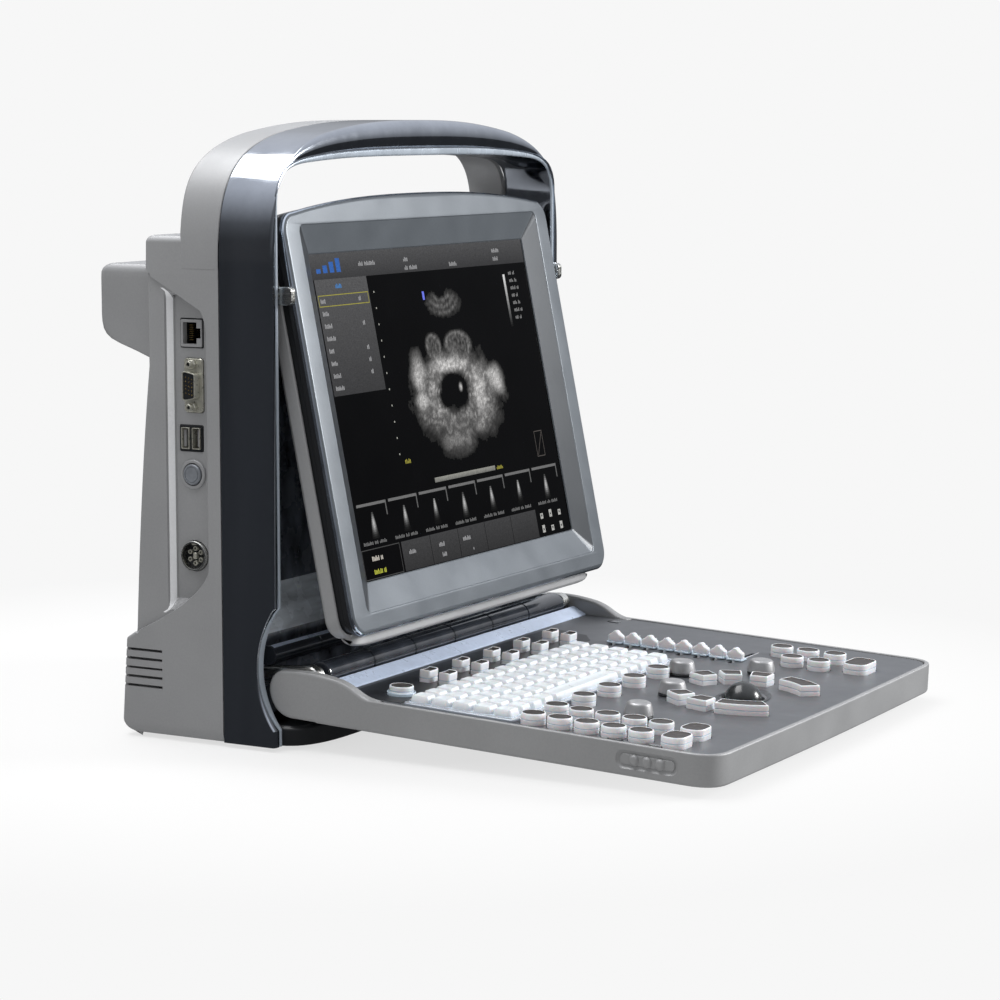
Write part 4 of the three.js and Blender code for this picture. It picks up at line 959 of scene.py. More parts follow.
# ---- the control panel: y = -(distance from the frame's front face), z above the deck -----------
PANEL_HALF, PANEL_REAR, PANEL_FRONT = 157.2, 21.0, 264.0
PANEL_LOW, LIP = -17.0, 0.6
EAR_INNER = 150.2
HINGE_AXIS = (-11.73, 6.05)              # y and z of the fold axis above the deck
LATCH_Y = (-240.0, -208.0)
PANEL_FEET = ((-120, -240, 8), (120, -240, 8))           # x, y and radius of the rubber stops below
MEMBRANE = (-4.2, -3.2)                  # heights of the sheets that join the keys, and of the keys' feet
KEY_FOOT = -3.7
ROUND_R, ROUND_TOP = 6.8, 6.0
QWERTY_X, QWERTY_V, QWERTY_PITCH, QWERTY_SIZE = -147.0, 73.5, (13.1, 12.9), (15, 5)
FUNCTION_V, FUNCTION_X, FUNCTION_PITCH, FUNCTION_COUNT = (53.0, 65.5), -89.0, 36.5, 5
FUNCTION_HALF = (5.5, 3.5)
LEFT_ROW = [(x, 150) for x in (-144.5, -118, -86, -55, -24, 7)]
LEFT_COLUMNS = [(x, v) for v in (166, 182, 198, 214) for x in (-144.5, -120)]
WIDE_KEYS = [(-143.2, 234), (-120, 234)]
WIDE_HALF, WIDE_R = (9.3, 7.0), 6.2
RIGHT_KEYS = [(112, 182), (112, 199), (113, 216), (88, 199), (88, 216)]
SLIDER_COUNT, SLIDER_X, SLIDER_V, SLIDER_PITCH, SLIDER_SLOT = 8, 80.0, 86.5, 11.4, (70.0, 106.0)
KNOBS = [(20, 159), (-34, 179), (-97, 189), (52, 195)]
BALL = (-13.0, 213.0, 11.0, -2.0)        # x, v, radius, height of its centre
RING = (34.5, 46.5)                      # inner and outer radius of the keys round the ball
RING_KEYS = [(28, 17), (-10, 8.5), (-34, 8.5), (-58, 8.5), (-146, 8.5), (-170, 8.5)]
SET_KEY = (157, 19)                      # middle and half span in degrees, as for the ring keys
FREEZE = (87, 111, -245, -230)           # x0, x1, y0 and y1
STANDBY = (-129, 59, 7.8)                # x, v and radius
KEY_GAP = 0.45                           # clearance round a key in the deck
DECK_HALF, DECK_WAIST = PANEL_HALF - 3.1, PANEL_HALF - 7.5
DECK_PADS = ((139, 55, (2.2, 4.2)), (-150.4, 202, (1.6, 4.5)), (-150.4, 226, (1.6, 4.5)))


def panel_outline(half, rear, front, r):
    """The panel's plan: square at the hinge, round front corners and a slightly bowed front edge."""
    corner = bezier((-half, -front + r), (-half, -front + r / 3), (-half + r / 3, -front),
                    (-half + r, -front), 8)
    bow = bezier((-half + r, -front), (-half / 3, -front - 1.4), (-half / 6, -front - 1.5),
                 (0, -front - 1.5), 8)
    left = [(-half, -rear)] + corner + bow[1:]
    return left + [(-x, y) for x, y in left[-2::-1]]


def ring_segment(middle, half, grow=0.0, r=1.8):
    """A piece of the ring round the trackball, with round corners."""
    x, v = BALL[:2]
    inner, outer = RING[0] - grow, RING[1] + grow
    spread = half + math.degrees(grow / inner)
    start, end = -middle - spread, -middle + spread

    def polar(radius, angle):
        return arc(x, -v, radius, angle, angle, 1)[0]

    def bend(a, corner, b):
        return bezier(a, corner, corner, b, 4)

    out = arc(x, -v, outer, start + math.degrees(r / outer), end - math.degrees(r / outer), 10)
    back = arc(x, -v, inner, end - math.degrees(r / inner), start + math.degrees(r / inner), 10)
    return (out + bend(out[-1], polar(outer, end), polar(outer - r, end))
            + bend(polar(inner + r, end), polar(inner, end), back[0]) + back
            + bend(back[-1], polar(inner, start), polar(inner + r, start))
            + bend(polar(outer - r, start), polar(outer, start), out[0]))


def box_outline(x, v, half, r, grow=0.0):
    wide, deep = half[0] + grow, half[1] + grow
    return rounded_rect(x - wide, x + wide, -v - deep, -v + deep, r + grow)


def function_places():
    return [(FUNCTION_X + FUNCTION_PITCH * k, v) for v in FUNCTION_V for k in range(FUNCTION_COUNT)]


def slider_v(k):
    """Distance of a slider's slot from the frame's front face."""
    return SLIDER_V + SLIDER_PITCH * k


def qwerty_area(grow):
    """The rectangle round the typing keys, made larger all round."""
    x1 = QWERTY_X + QWERTY_PITCH[0] * QWERTY_SIZE[0]
    v1 = QWERTY_V + QWERTY_PITCH[1] * QWERTY_SIZE[1]
    return rounded_rect(QWERTY_X - grow, x1 + grow, -v1 - grow, -QWERTY_V + grow, 1.5 + grow, 3)


def build_panel_case():
    """The panel's tray, with a pocket for the latch and two ears that hold the hinge roller."""
    case = Shape(DECK)
    wall = panel_outline(PANEL_HALF, PANEL_REAR, PANEL_FRONT, 18)
    outside = rounded(PANEL_LOW, -0.4, 0.0, 1.6)[:-5] + [(0, -0.4), (0.12, 0.2), (0.5, 0.55), (0.9, LIP)]
    inside = [(2.2, LIP), (2.6, 0.45), (2.8, 0.1), (2.8, -14.6)]
    case.prism(wall, outside + inside, "z")
    pocket = Shape(DECK)
    y0, y1 = LATCH_Y[0] - 2, LATCH_Y[1] + 2
    pocket.prism(rounded_rect(y0, y1, -13, -3, 4.4, 8),
                 [(-1.0, -160), (0, -157.2), (0.35, -156.7), (1.1, -156.2), (2.4, -156.0)], "x")
    case.cut(pocket)
    seat = Shape(DECK)
    seat.bar(rounded_rect(-EAR_INNER, EAR_INNER, -31, -10, 0.3), -3.3, 5)
    case.cut(seat)
    side = [(-60, -16.7), (-4, -16.7)] + bezier((-4, -16.7), (5, -15.7), (9, -9), (10, -2), 10)
    side += bezier((10, -2), (10, 6), (5, 10), (-1, 10), 10)
    side += bezier((-1, 10), (-14, 11.5), (-24, 10.5), (-34, 9), 10)
    side += bezier((-34, 9), (-46, 6.5), (-47, 1.5), (-58, LIP), 14) + [(-60, LIP - 0.3)]
    ends = [(2.2, EAR_INNER), (0.9, EAR_INNER + 0.3), (0.2, EAR_INNER + 1.1), (0, EAR_INNER + 2.2)]
    outer = PANEL_HALF + 0.04
    ends += [(0, outer - 2.2), (0.2, outer - 1.1), (0.9, outer - 0.3), (2.2, outer)]
    for flip in (1, -1):
        case.prism(side, [(d, flip * h) for d, h in ends], "x")
    for stop in PANEL_FEET:
        case.prism(circle(*stop), [(d, -h) for d, h in rounded(-PANEL_LOW - 1, 22, 1.2)], "z", 1)
    case.piece("panel_tray", "control_panel", "panel_grey_plastic", [PANEL_GREY, RUBBER], ["panel_case"])


def key_holes():
    """The deck's openings for all that comes up through it."""
    holes = [qwerty_area(KEY_GAP)]
    holes += [box_outline(x, v, FUNCTION_HALF, 1.2, KEY_GAP) for x, v in function_places()]
    holes += [circle(x, -v, ROUND_R + KEY_GAP) for x, v in LEFT_ROW + LEFT_COLUMNS + RIGHT_KEYS]
    holes += [box_outline(x, v, WIDE_HALF, WIDE_R, KEY_GAP) for x, v in WIDE_KEYS]
    holes += [circle(x, -v, 3.5, 20) for x, v in KNOBS]
    low, high = SLIDER_SLOT
    for k in range(SLIDER_COUNT):
        holes.append(rounded_rect(low, high, -slider_v(k) - 1.4, -slider_v(k) + 1.4, 1.3, 3))
    holes += [ring_segment(middle, span, KEY_GAP) for middle, span in RING_KEYS + [SET_KEY]]
    holes += [circle(BALL[0], -BALL[1], 12.2), standby_hole()]
    x0, x1, y0, y1 = FREEZE
    return holes + [rounded_rect(x0 - KEY_GAP, x1 + KEY_GAP, y0 - KEY_GAP, y1 + KEY_GAP, 6.4)]


def standby_hole():
    x, v, r = STANDBY
    return circle(x, -v, r + 2 * KEY_GAP)


def build_deck():
    """The deck with its pads and slider marks, and a black sheet under the function keys: a painted
    reflection of the dark screen above.
    """
    deck = Shape(DECK)
    outline = panel_outline(DECK_HALF, 61, PANEL_FRONT - 3.1, 16)
    outline += [(DECK_WAIST, -61), (DECK_WAIST, -30), (-DECK_WAIST, -30), (-DECK_WAIST, -61)]
    deck.plate(outline, key_holes(), -2, 0, 0.4)
    for x, v, half in DECK_PADS:
        deck.prism(box_outline(x, v, half, min(half) * 0.8), rounded(-0.2, 0.45, 0.3), "z", 1)
    low, high = SLIDER_SLOT
    for k in range(SLIDER_COUNT):
        mark = rounded_rect(low + 17, high + 3, -slider_v(k) - 2.1, -slider_v(k) - 1.6, 0.2, 2)
        deck.prism(mark, rounded(-0.2, 0.3, 0.15, steps=2), "z", 2)
    deck.piece("deck_top", "control_panel", "deck_grey", [DECK_GREY, BLACK_GLOSS, KEY_WHITE], ["deck_plate"])
    # A black sheet on the deck round the function keys: a painted reflection of the dark screen above it.
    painted_reflection = Shape(DECK)
    gaps = [box_outline(x, v, FUNCTION_HALF, 1.2, KEY_GAP) for x, v in function_places()]
    painted_reflection.plate([(-149, -34), (-149, -70.5), (76, -70.5), (88, -62), (94, -34)], gaps + [standby_hole()],
                0.02, 0.3, 0.2)
    painted_reflection.piece("function_keys_painted_reflection", "control_panel", "deck_grey", [BLACK])


def build_tray_and_strip():
    tray = Shape(DECK)
    tray.plate(rounded_rect(QWERTY_X - 4.2, 53.5, -142, -QWERTY_V + 1, 3), [qwerty_area(0.3)],
               0.02, 1.3, 0.6, hole_edge=0.4)
    tray.piece("key_rim", "control_panel", "bright_trim", [CLEAR_TRIM_PAINTED_REFLECTION], ["key_tray"])
    # The strip's light blue is a painted highlight.
    strip = Shape(DECK)
    section = [(-19.8, -3), (-19.8, 3.8), (-20.2, 4.3), (-20.9, 4.45), (-29.0, 0.75), (-29.5, 0.3),
               (-29.5, -3)]
    end = DECK_WAIST
    strip.prism(section, [(0.4, -end), (0, -end + 0.4), (0, end - 0.4), (0.4, end)], "x")
    strip.piece("deck_bevel", "control_panel", "bright_trim", [STRIP_PAINTED_HIGHLIGHT], ["deck_strip"], crease=25)
    barrel = Shape(DECK)
    y, z = HINGE_AXIS
    groove = [(1.2, -139), (0.2, -138.4), (0, -137.6)]
    for k in range(-2, 3):
        x = 46.0 * k
        groove += [(0, x - 0.8), (0.45, x - 0.5), (0.45, x + 0.5), (0, x + 0.8)]
    barrel.prism(circle(y, z, 7.5, 48), groove + [(0, 137.6), (0.2, 138.4), (1.2, 139)], "x")
    barrel.prism(rounded_rect(-19.5, y, -3, 1.5, 0.4, 2),
                 [(0.3, -138.5), (0, -138), (0, 138), (0.3, 138.5)], "x")
    barrel.piece("hinge_roller", "control_panel", "dark_gloss", [BLACK_GLOSS], ["hinge_barrel"])


def key_cap(shape, outline, top, bow=0.0):
    """A white cap with a clear seam at half height and a dark dish in its top.

    outline(d) is the cap's outline drawn in by d, and bow lowers the middle of the top.
    """
    wall = [(0.0, KEY_FOOT), (0.0, 2.1), (0.3, 2.25), (0.3, 2.75), (0.0, 2.9), (0.0, top - 0.9),
            (0.12, top - 0.35), (0.4, top - 0.06), (0.65, top)]
    dish = [(0.85, top - 0.1), (1.1, top - 0.35), (1.6, top - 0.5)]
    loops = [[(x, y, z) for x, y in tidy(outline(d))] for d, z in wall + dish]
    rings = shape.loft(loops)
    for a, b, material in ((2, 3, 1), (9, 10, 2), (10, 11, 2)):
        for face in shape.faces_between(rings[a], rings[b]):
            face.material_index = material
    shape.face_on(rings[-1]).material_index = 2
    if bow:
        xs = [x for x, _, _ in loops[0]]
        middle, half = (min(xs) + max(xs)) / 2, (max(xs) - min(xs)) / 2
        for ring in rings[5:]:
            for vert in ring:
                vert.co.z -= bow * (1 - ((vert.co.x - middle) / half) ** 2)


def sheet(shape, outline):
    """The moulded sheet that joins a group of keys under the deck."""
    shape.bar(outline, *MEMBRANE)


def finish_keys(shape, name, body):
    shape.piece(name, body, "key_white", [KEY_WHITE, KEY_SEAM, KEY_DARK], [body], crease=32)


QWERTY_CAP = [(0, 1.0), (0.05, 1.9), (0.35, 3.2), (0.75, 4.2), (1.15, 4.75), (1.7, 4.95), (2.4, 4.85),
              (3.3, 4.6), (4.2, 4.5)]
SPACE_BAR, SPACE_SPAN = (4, 4), 6        # row and column of the wide key, and how many keys wide it is


def build_qwerty():
    keys = Shape(DECK)
    sheet(keys, qwerty_area(-0.3))
    keys.prism(qwerty_area(-0.2), rounded(KEY_FOOT, 1.1, 0.2), "z", 1)
    columns, rows = QWERTY_SIZE
    pitch, pitch_v = QWERTY_PITCH
    for row in range(rows):
        column = 0
        while column < columns:
            span = SPACE_SPAN if (row, column) == SPACE_BAR else 1
            x0 = QWERTY_X + column * pitch + 0.75
            y1 = -QWERTY_V - row * pitch_v - 0.75
            x1, y0 = x0 + span * pitch - 1.5, y1 - pitch_v + 1.5
            loops = []
            for d, z in QWERTY_CAP:
                outline = rounded_rect(x0 + d, x1 - d, y0 + d, y1 - d, max(2.6 - d, 0.8), 4)
                loops.append([(x, y, z) for x, y in outline])
            keys.loft(loops)
            column += span
    finish_keys(keys, "typing_keys", "qwerty_keys")


def round_cap(x, v, r=ROUND_R):
    return lambda d: circle(x, -v, r - d)


def box_cap(x, v, half, r):
    return lambda d: box_outline(x, v, half, r, -d)


def ring_cap(middle, span):
    return lambda d: ring_segment(middle, span, -d)


def build_group(name, body, caps, membrane=None, top=ROUND_TOP, bow=0.0):
    """One piece of caps on their sheet; each cap is its outline as a function of the inset."""
    keys = Shape(DECK)
    for outline in caps:
        key_cap(keys, outline, top, bow)
    if membrane:
        sheet(keys, membrane)
    finish_keys(keys, name, body)


def build_keys():
    build_group("saddle_keys", "function_keys",
                [box_cap(x, v, FUNCTION_HALF, 1.7) for x, v in function_places()],
                rounded_rect(-97, 65, -71, -47, 1), 7.6, 1.7)
    build_group("round_keys_left", "left_keys",
                [round_cap(x, v) for x, v in LEFT_ROW + LEFT_COLUMNS]
                + [box_cap(x, v, WIDE_HALF, WIDE_R) for x, v in WIDE_KEYS],
                [(-153, -142), (-153, -243), (-111, -243), (-111, -158), (15, -158), (15, -142)])
    build_group("round_keys_right", "right_keys", [round_cap(x, v) for x, v in RIGHT_KEYS],
                [(80, -191), (80, -224), (121, -224), (121, -174), (104, -174), (104, -191)])
    x, v = BALL[:2]
    build_group("arc_keys", "ring_keys", [ring_cap(*key) for key in RING_KEYS],
                arc(x, -v, RING[1] - 1, -46, 178, 40) + arc(x, -v, RING[0] + 6, 178, -46, 40))
    build_group("arc_key_front", "set_key", [ring_cap(*SET_KEY)])
    x0, x1, y0, y1 = FREEZE
    build_group("oblong_key", "freeze_key",
                [lambda d: rounded_rect(x0 + d, x1 - d, y0 + d, y1 - d, 6 - d)])
    x, v, r = STANDBY
    keys = Shape(DECK)
    key_cap(keys, round_cap(x, v, r - 1), ROUND_TOP - 0.8)
    keys.plate(circle(x, -v, r + 0.3), [circle(x, -v, r - 0.9)], 0.1, 1.9, 0.5, material=1)
    finish_keys(keys, "round_key_rear", "standby_key")


def turned(shape, x, y, profile, material=0, steps=48, flute=0.0):
    """A turned solid about an upright axis, from (radius, height) pairs; flutes notch its wide part."""
    widest = max(radius for radius, _ in profile)
    loops = []
    for radius, z in profile:
        notch = flute if radius > 0.6 * widest else 0.0
        loop = []
        for k in range(steps):
            angle = 2 * math.pi * k / steps
            reach = radius - notch * (k % 2)
            loop.append((x + reach * math.cos(angle), y + reach * math.sin(angle), z))
        loops.append(loop)
    shape.loft(loops, material)


KNOB_SKIRT = [(6.5, 0.35), (7.9, 0.4), (8.1, 0.7), (8.1, 1.3), (7.8, 1.7), (7.3, 1.8)]
KNOB_GRIP = [(7.3, 1.8), (8.0, 1.95), (8.1, 2.3), (7.95, 3.6), (7.5, 5.6), (7.0, 7.2)]
KNOB_TOP = [(7.0, 7.2), (6.8, 7.9), (6.4, 8.5), (5.6, 8.95), (4.6, 9.1), (4.2, 8.95), (0.4, 8.85)]


def build_knobs():
    for k, (x, v) in enumerate(KNOBS):
        knob = Shape(DECK)
        turned(knob, x, -v, [(2.8, -8), (2.8, 0.4)], 1, 16)
        turned(knob, x, -v, KNOB_SKIRT, 1)
        turned(knob, x, -v, KNOB_GRIP, 0, 96, 0.10)
        turned(knob, x, -v, KNOB_TOP)
        body = f"control_knob_{k + 1}"
        knob.piece(f"turned_knob_{k + 1}", body, "knob_metal", [KNOB_METAL, BLACK], [body], crease=50)


def build_sliders():
    x = SLIDER_X
    for k in range(SLIDER_COUNT):
        lever = Shape(DECK)
        y = -slider_v(k)
        lever.bar(rounded_rect(x - 4, x + 4, y - 0.9, y + 0.9, 0.4, 2), -5, 1.4)
        house = [(y - 4.9, 1.2), (y - 5.0, 4.2)]
        house += bezier((y - 5.0, 4.2), (y - 4.8, 5.6), (y - 2.4, 5.6), (y - 1.4, 7.6), 8) + [(y, 8.1)]
        house += [(2 * y - a, b) for a, b in house[-2::-1]]
        lever.prism(house, [(1.4, x - 2.8), (0.5, x - 2.5), (0.0, x - 1.6), (0.3, x + 1.6), (0.8, x + 2.5),
                            (1.6, x + 2.8)], "x")
        lever.prism(rounded_rect(x - 4, x + 5, y - 5.1, y + 5.1, 1.2, 3), rounded(0.5, 1.5, 0.5), "z", 1)
        body = f"gain_slider_{k + 1}"
        lever.piece(f"slider_lever_{k + 1}", body, "key_white", [KEY_WHITE, KEY_SEAM], [body], crease=34)


CUP_STEPS = 96
CUP_EYE = (25.5, 14.2, 1.7)              # the cup's half width, half depth and squareness
CUP_BORE = 11.6
CUP_RINGS = ((0.0, 0.02, 0), (0.3, 0.3, 0), (-0.6, 0.5, 0), (-1.6, 0.35, 0), (0, 0.1, 0.45), (0, -0.6, 0.85),
             (0, -1.6, 1.0), (0, -6.5, 1.0))


def build_trackball():
    """The ball, and an eye-shaped cup whose rings blend into the round bore."""
    x, v, r, z = BALL
    ball = Shape(DECK)
    angles = [math.pi * k / 32 for k in range(1, 32)]
    turned(ball, x, -v, [(r * math.sin(a), z - r * math.cos(a)) for a in angles], 0, 64)
    ball.piece("ball", "trackball", "trackball_black", [BALL_BLACK], ["trackball"], crease=60)
    cup = Shape(DECK)
    wide, deep, power = CUP_EYE
    loops = []
    for grow, height, blend in CUP_RINGS:
        loop = []
        for k in range(CUP_STEPS):
            a = 2 * math.pi * k / CUP_STEPS
            eye = ((abs(math.cos(a)) / wide) ** power + (abs(math.sin(a)) / deep) ** power) ** (-1 / power)
            radius = (eye + grow) * (1 - blend) + CUP_BORE * blend
            loop.append((x + radius * math.cos(a), -v + radius * math.sin(a), height))
        loops.append(loop)
    cup.loft(loops, 0, False, False)
    cup.piece("ball_cup", "control_panel", "trackball_black", [CUP_BLACK], ["trackball_ring"], crease=40)


def build_latch():
    latch = Shape(DECK)
    y0, y1 = LATCH_Y
    latch.prism(rounded_rect(y0, y1, -11, -5, 2.4),
                [(0, -154.9), (0, -156.2), (0.3, -156.6), (0.8, -156.75)], "x")
    for k in range(3):
        middle = (y0 + y1) / 2 - 7.5 + 7.5 * k
        loops = []
        for d, x in ((0, -156.4), (0.15, -157.1), (0.6, -157.8), (1.2, -158.2), (1.8, -158.35)):
            outline = rounded_rect(middle - 2.7 + d, middle + 2.7 - d, -11.2 + d, -4.8 - d, 2.6 - d)
            loops.append([(x, y, z) for y, z in outline])
        latch.loft(loops)
    latch.piece("latch_slide", "panel_latch", "panel_grey_plastic", [PANEL_GREY], ["panel_latch"], crease=60)


def build_panel():
    build_panel_case()
    build_deck()
    build_tray_and_strip()
    build_qwerty()
    build_keys()
    build_knobs()
    build_sliders()
    build_trackball()
    build_latch()


# ---- ports, sockets, back and base. Side pieces are drawn on +x and mirrored for the left side ---
LEFT_SIDE = UPRIGHT @ Matrix.Diagonal((-1, 1, 1, 1))
LAN, VGA, USB = (57.4, 227, 15, 16), (56.2, 198, 12.5, 30), (58.5, 168.4, 15.5, 14.5)
BUTTON, INLET = (57.5, 148.3, 6.0), (57, 102.5, 8.5)     # y, z and radius; the others y, z, width, height
PROBE_SOCKETS = {"upper": (58, 205), "lower": (58, 128)}
SOCKET_W, SOCKET_H = 18.0, 64.0
SOCKET_PINS = 23                         # pins on each side of a probe socket's tongue, 2 mm apart
FLOOR_X = 158.4                          # face of the trough's floor, and the back of its plate
PLATE_X = 156


def side_rect(y, z, w, h, r, grow=0.0):
    wide, tall = w / 2 + grow, h / 2 + grow
    return rounded_rect(y - wide, y + wide, z - tall, z + tall, r, 4)


def trough_outline():
    """The floor of the side trough, a little larger than its opening."""
    heights = [75 + 1.5 * k for k in range(118)]
    front = [(trough_front(z) - 1.0, z) for z in heights if trough_front(z) < TROUGH_BACK]
    return front + [(TROUGH_BACK + 1.6, front[-1][1]), (TROUGH_BACK + 1.6, front[0][1])]


def build_port_panel():
    """The floor of the left trough, with a raised ring round the power button."""
    panel = Shape(LEFT_SIDE)
    y, z, r = BUTTON
    holes = [side_rect(*LAN, 0.8, 0.2), side_rect(*VGA, 2.0, 0.2), side_rect(*USB, 0.8, 0.2),
             circle(y, z, r + 0.3), circle(INLET[0], INLET[1], INLET[2] + 0.2)]
    panel.plate(trough_outline(), holes, PLATE_X, FLOOR_X, 0.2, "x", 0, 0.35)
    panel.plate(circle(y, z, r + 2.4, 40), [circle(y, z, r + 0.35, 40)],
                FLOOR_X - 0.2, FLOOR_X + 1.3, 0.8, "x")
    panel.piece("port_plate", "main_unit", "silver_plastic", [SILVER], ["port_panel"])


def build_lan():
    y, z, w, h = LAN
    lan = Shape(LEFT_SIDE)
    mouth = [(y - 3.5, z - 6), (y + 5.5, z - 6), (y + 5.5, z + 6), (y - 3.5, z + 6), (y - 3.5, z + 2.8),
             (y - 6.2, z + 2.8), (y - 6.2, z - 2.8), (y - 3.5, z - 2.8)]
    lan.plate(side_rect(y, z, w - 0.7, h - 0.7, 0.7), [mouth], FLOOR_X - 3, FLOOR_X + 0.9, 0.35, "x", 0, 0.2)
    lan.plate(side_rect(y, z, w, h, 0.8, 0.15), [side_rect(y, z, w - 0.7, h - 0.7, 0.7)],
              FLOOR_X - 3, FLOOR_X + 0.25, 0.1, "x", 1, 0.05)
    lan.plate(side_rect(y, z, w - 1.5, h - 1.5, 0.5), [mouth], 140, FLOOR_X - 3.1, 0.1, "x", 1, 0.1)
    lan.bar(side_rect(y, z, w - 2, h - 2, 0.4), 139, 141, "x", 1)
    for k in range(8):
        pin = z - 4.0 + 8.0 * k / 7
        low, high = pin - 0.18, pin + 0.18
        lan.bar([(y + 2.2, low), (y + 5.0, low), (y + 5.0, high), (y + 2.2, high)], 144, 154, "x", 2)
    lan.piece("network_jack", "main_unit", "steel", [SILVER, BLACK, GOLD], ["lan_socket"])


def build_vga():
    y, z, w, h = VGA
    vga = Shape(LEFT_SIDE)
    vga.bar(side_rect(y, z, w, h, 2.0), 148, FLOOR_X + 1.0, "x", 0, 0.3)
    outline = tidy(arc(y + 2.6, z - 6.6, 1.6, -85, 0, 4) + arc(y + 2.6, z + 6.6, 1.6, 0, 85, 4)
                   + arc(y - 2.6, z + 5.6, 1.6, 95, 180, 4) + arc(y - 2.6, z - 5.6, 1.6, 180, 265, 4))
    vga.plate(outline, [inset(outline, 0.5)], FLOOR_X + 0.9, FLOOR_X + 6.2, 0.2, "x", 0, 0.1)
    vga.prism(inset(outline, 0.55), [(0, FLOOR_X + 0.9), (0, FLOOR_X + 5.5), (0.15, FLOOR_X + 5.7)], "x", 1)
    for column in range(3):
        for row in range(5):
            hole = circle(y - 2.0 + 2.0 * column, z - 4.6 + 2.2 * row + 0.5 * (column - 1), 0.5, 10)
            vga.prism(hole, [(0, FLOOR_X + 5.6), (0.1, FLOOR_X + 5.78)], "x", 2)
    for sign in (-1, 1):
        middle = z + 12.0 * sign
        vga.bar(circle(y, middle, 2.7, 6), FLOOR_X + 0.9, FLOOR_X + 3.6, "x", 0, 0.4)
        vga.plate(circle(y, middle, 2.0, 20), [circle(y, middle, 1.1, 12)],
                  FLOOR_X + 3.4, FLOOR_X + 6.4, 0.4, "x", 0, 0.2)
        vga.bar(circle(y, middle, 1.15, 12), FLOOR_X + 3, FLOOR_X + 5.2, "x", 1)
    vga.piece("video_connector", "main_unit", "steel", [CREAM_METAL, BLACK, GOLD], ["vga_socket"])


def build_usb():
    y, z, w, h = USB
    usb = Shape(LEFT_SIDE)
    slots = [side_rect(y + dy, z, 5.6, 12.2, 0.6) for dy in (-3.6, 3.6)]
    usb.plate(side_rect(y, z, w, h, 0.8), slots, 142, FLOOR_X + 0.5, 0.3, "x", 1, 0.1)
    for dy in (-3.6, 3.6):
        usb.plate(side_rect(y + dy, z, 5.5, 12.1, 0.6), [side_rect(y + dy, z, 4.5, 11.1, 0.4)],
                  143, FLOOR_X + 1.3, 0.2, "x", 0, 0.15)
        usb.bar(side_rect(y + dy * 1.28, z, 1.7, 9.6, 0.2), 142.5, FLOOR_X - 0.2, "x", 2, 0.2)
        usb.bar(side_rect(y + dy, z, 4.6, 11.2, 0.4), 142, 144, "x", 1)
    usb.piece("usb_pair", "main_unit", "steel", [CREAM_METAL, BLACK, KNOB_METAL], ["usb_socket"])


def build_button_and_inlet():
    y, z, r = BUTTON
    button = Shape(LEFT_SIDE)
    face = [(0, 150), (0, 159.7), (0.25, 160.3), (0.8, 160.6), (1.2, 160.55), (1.35, 160.2), (1.75, 160.2),
            (1.9, 160.5), (3.0, 160.3), (5.0, 160.2)]
    button.prism(circle(y, z, r - 0.1, 48), face, "x")
    button.piece("power_key", "power_button", "silver_plastic", [BUTTON_GREY], ["power_button"], crease=50)
    y, z, r = INLET
    inlet = Shape(LEFT_SIDE)
    inlet.plate(circle(y, z, r, 48), [circle(y, z, r - 1.3, 48)], 142, FLOOR_X + 2.4, 0.5, "x", 0, 0.4)
    inlet.prism(circle(y, z, r - 1.35, 48), [(0, 141), (0, FLOOR_X - 2.0), (0.4, FLOOR_X - 1.7)], "x", 1)
    for k in range(6):
        angle = math.radians(60 * k + 30)
        spot = (y + 4.1 * math.cos(angle), z + 4.1 * math.sin(angle))
        inlet.plate(circle(*spot, 1.35, 16), [circle(*spot, 0.75, 16)],
                    FLOOR_X - 1.9, FLOOR_X + 0.3, 0.2, "x", 2, 0.1)
    inlet.bar(side_rect(y, z, 2.4, 3.6, 0.5), FLOOR_X - 1.9, FLOOR_X + 0.8, "x", 2, 0.3)
    inlet.bar(side_rect(y, z + r - 1.7, 2.6, 1.2, 0.3), FLOOR_X - 1.9, FLOOR_X + 1.6, "x", 2)
    inlet.piece("power_jack", "main_unit", "steel", [STEEL, BLACK, CREAM_METAL], ["power_inlet"])


def build_probe_side():
    """The right side's trough floor, with two sockets that each hold a tongue between two rows of pins."""
    panel = Shape(UPRIGHT)
    holes = [side_rect(y, z, SOCKET_W, SOCKET_H, 2.0, 0.2) for y, z in PROBE_SOCKETS.values()]
    panel.plate(trough_outline(), holes, PLATE_X, FLOOR_X, 0.2, "x", 0, 0.35)
    panel.piece("probe_plate", "main_unit", "silver_plastic", [SILVER], ["probe_panel"])
    for name, (y, z) in PROBE_SOCKETS.items():
        socket = Shape(UPRIGHT)
        mouth = side_rect(y, z, 11, 54, 2.0)
        socket.plate(side_rect(y, z, SOCKET_W, SOCKET_H, 2.0), [mouth], 138, 160.3, 0.7, "x", 0, 0.5)
        socket.bar(side_rect(y, z, 11.5, 54.5, 2.0), 138, 148.6, "x")
        socket.plate(side_rect(y, z, 10.6, 53.6, 1.8), [side_rect(y, z, 9.8, 52.8, 1.5)],
                     148.5, 159.4, 0.15, "x", 1, 0.1)
        for side in (-2.2, 2.2):
            socket.prism(side_rect(y + side, z, 1.5, 46, 0.5), [(0, 148.5), (0, 156.2), (0.3, 156.6)], "x")
            edge = y + side + math.copysign(0.86, side)
            for k in range(SOCKET_PINS):
                pin = z + 2 * k - (SOCKET_PINS - 1)
                socket.bar(side_rect(edge, pin, 0.3, 0.9, 0.1), 149, 155.8, "x", 2)
        for end in (-29.3, 29.3):
            socket.prism(circle(y, z + end, 1.6, 16), [(0, 160.1), (0.1, 160.6), (0.5, 160.8)], "x", 1)
        socket.piece(f"probe_port_{name}", "main_unit", "black_plastic", [BLACK, STEEL, GOLD],
                     [f"probe_socket_{name}"])


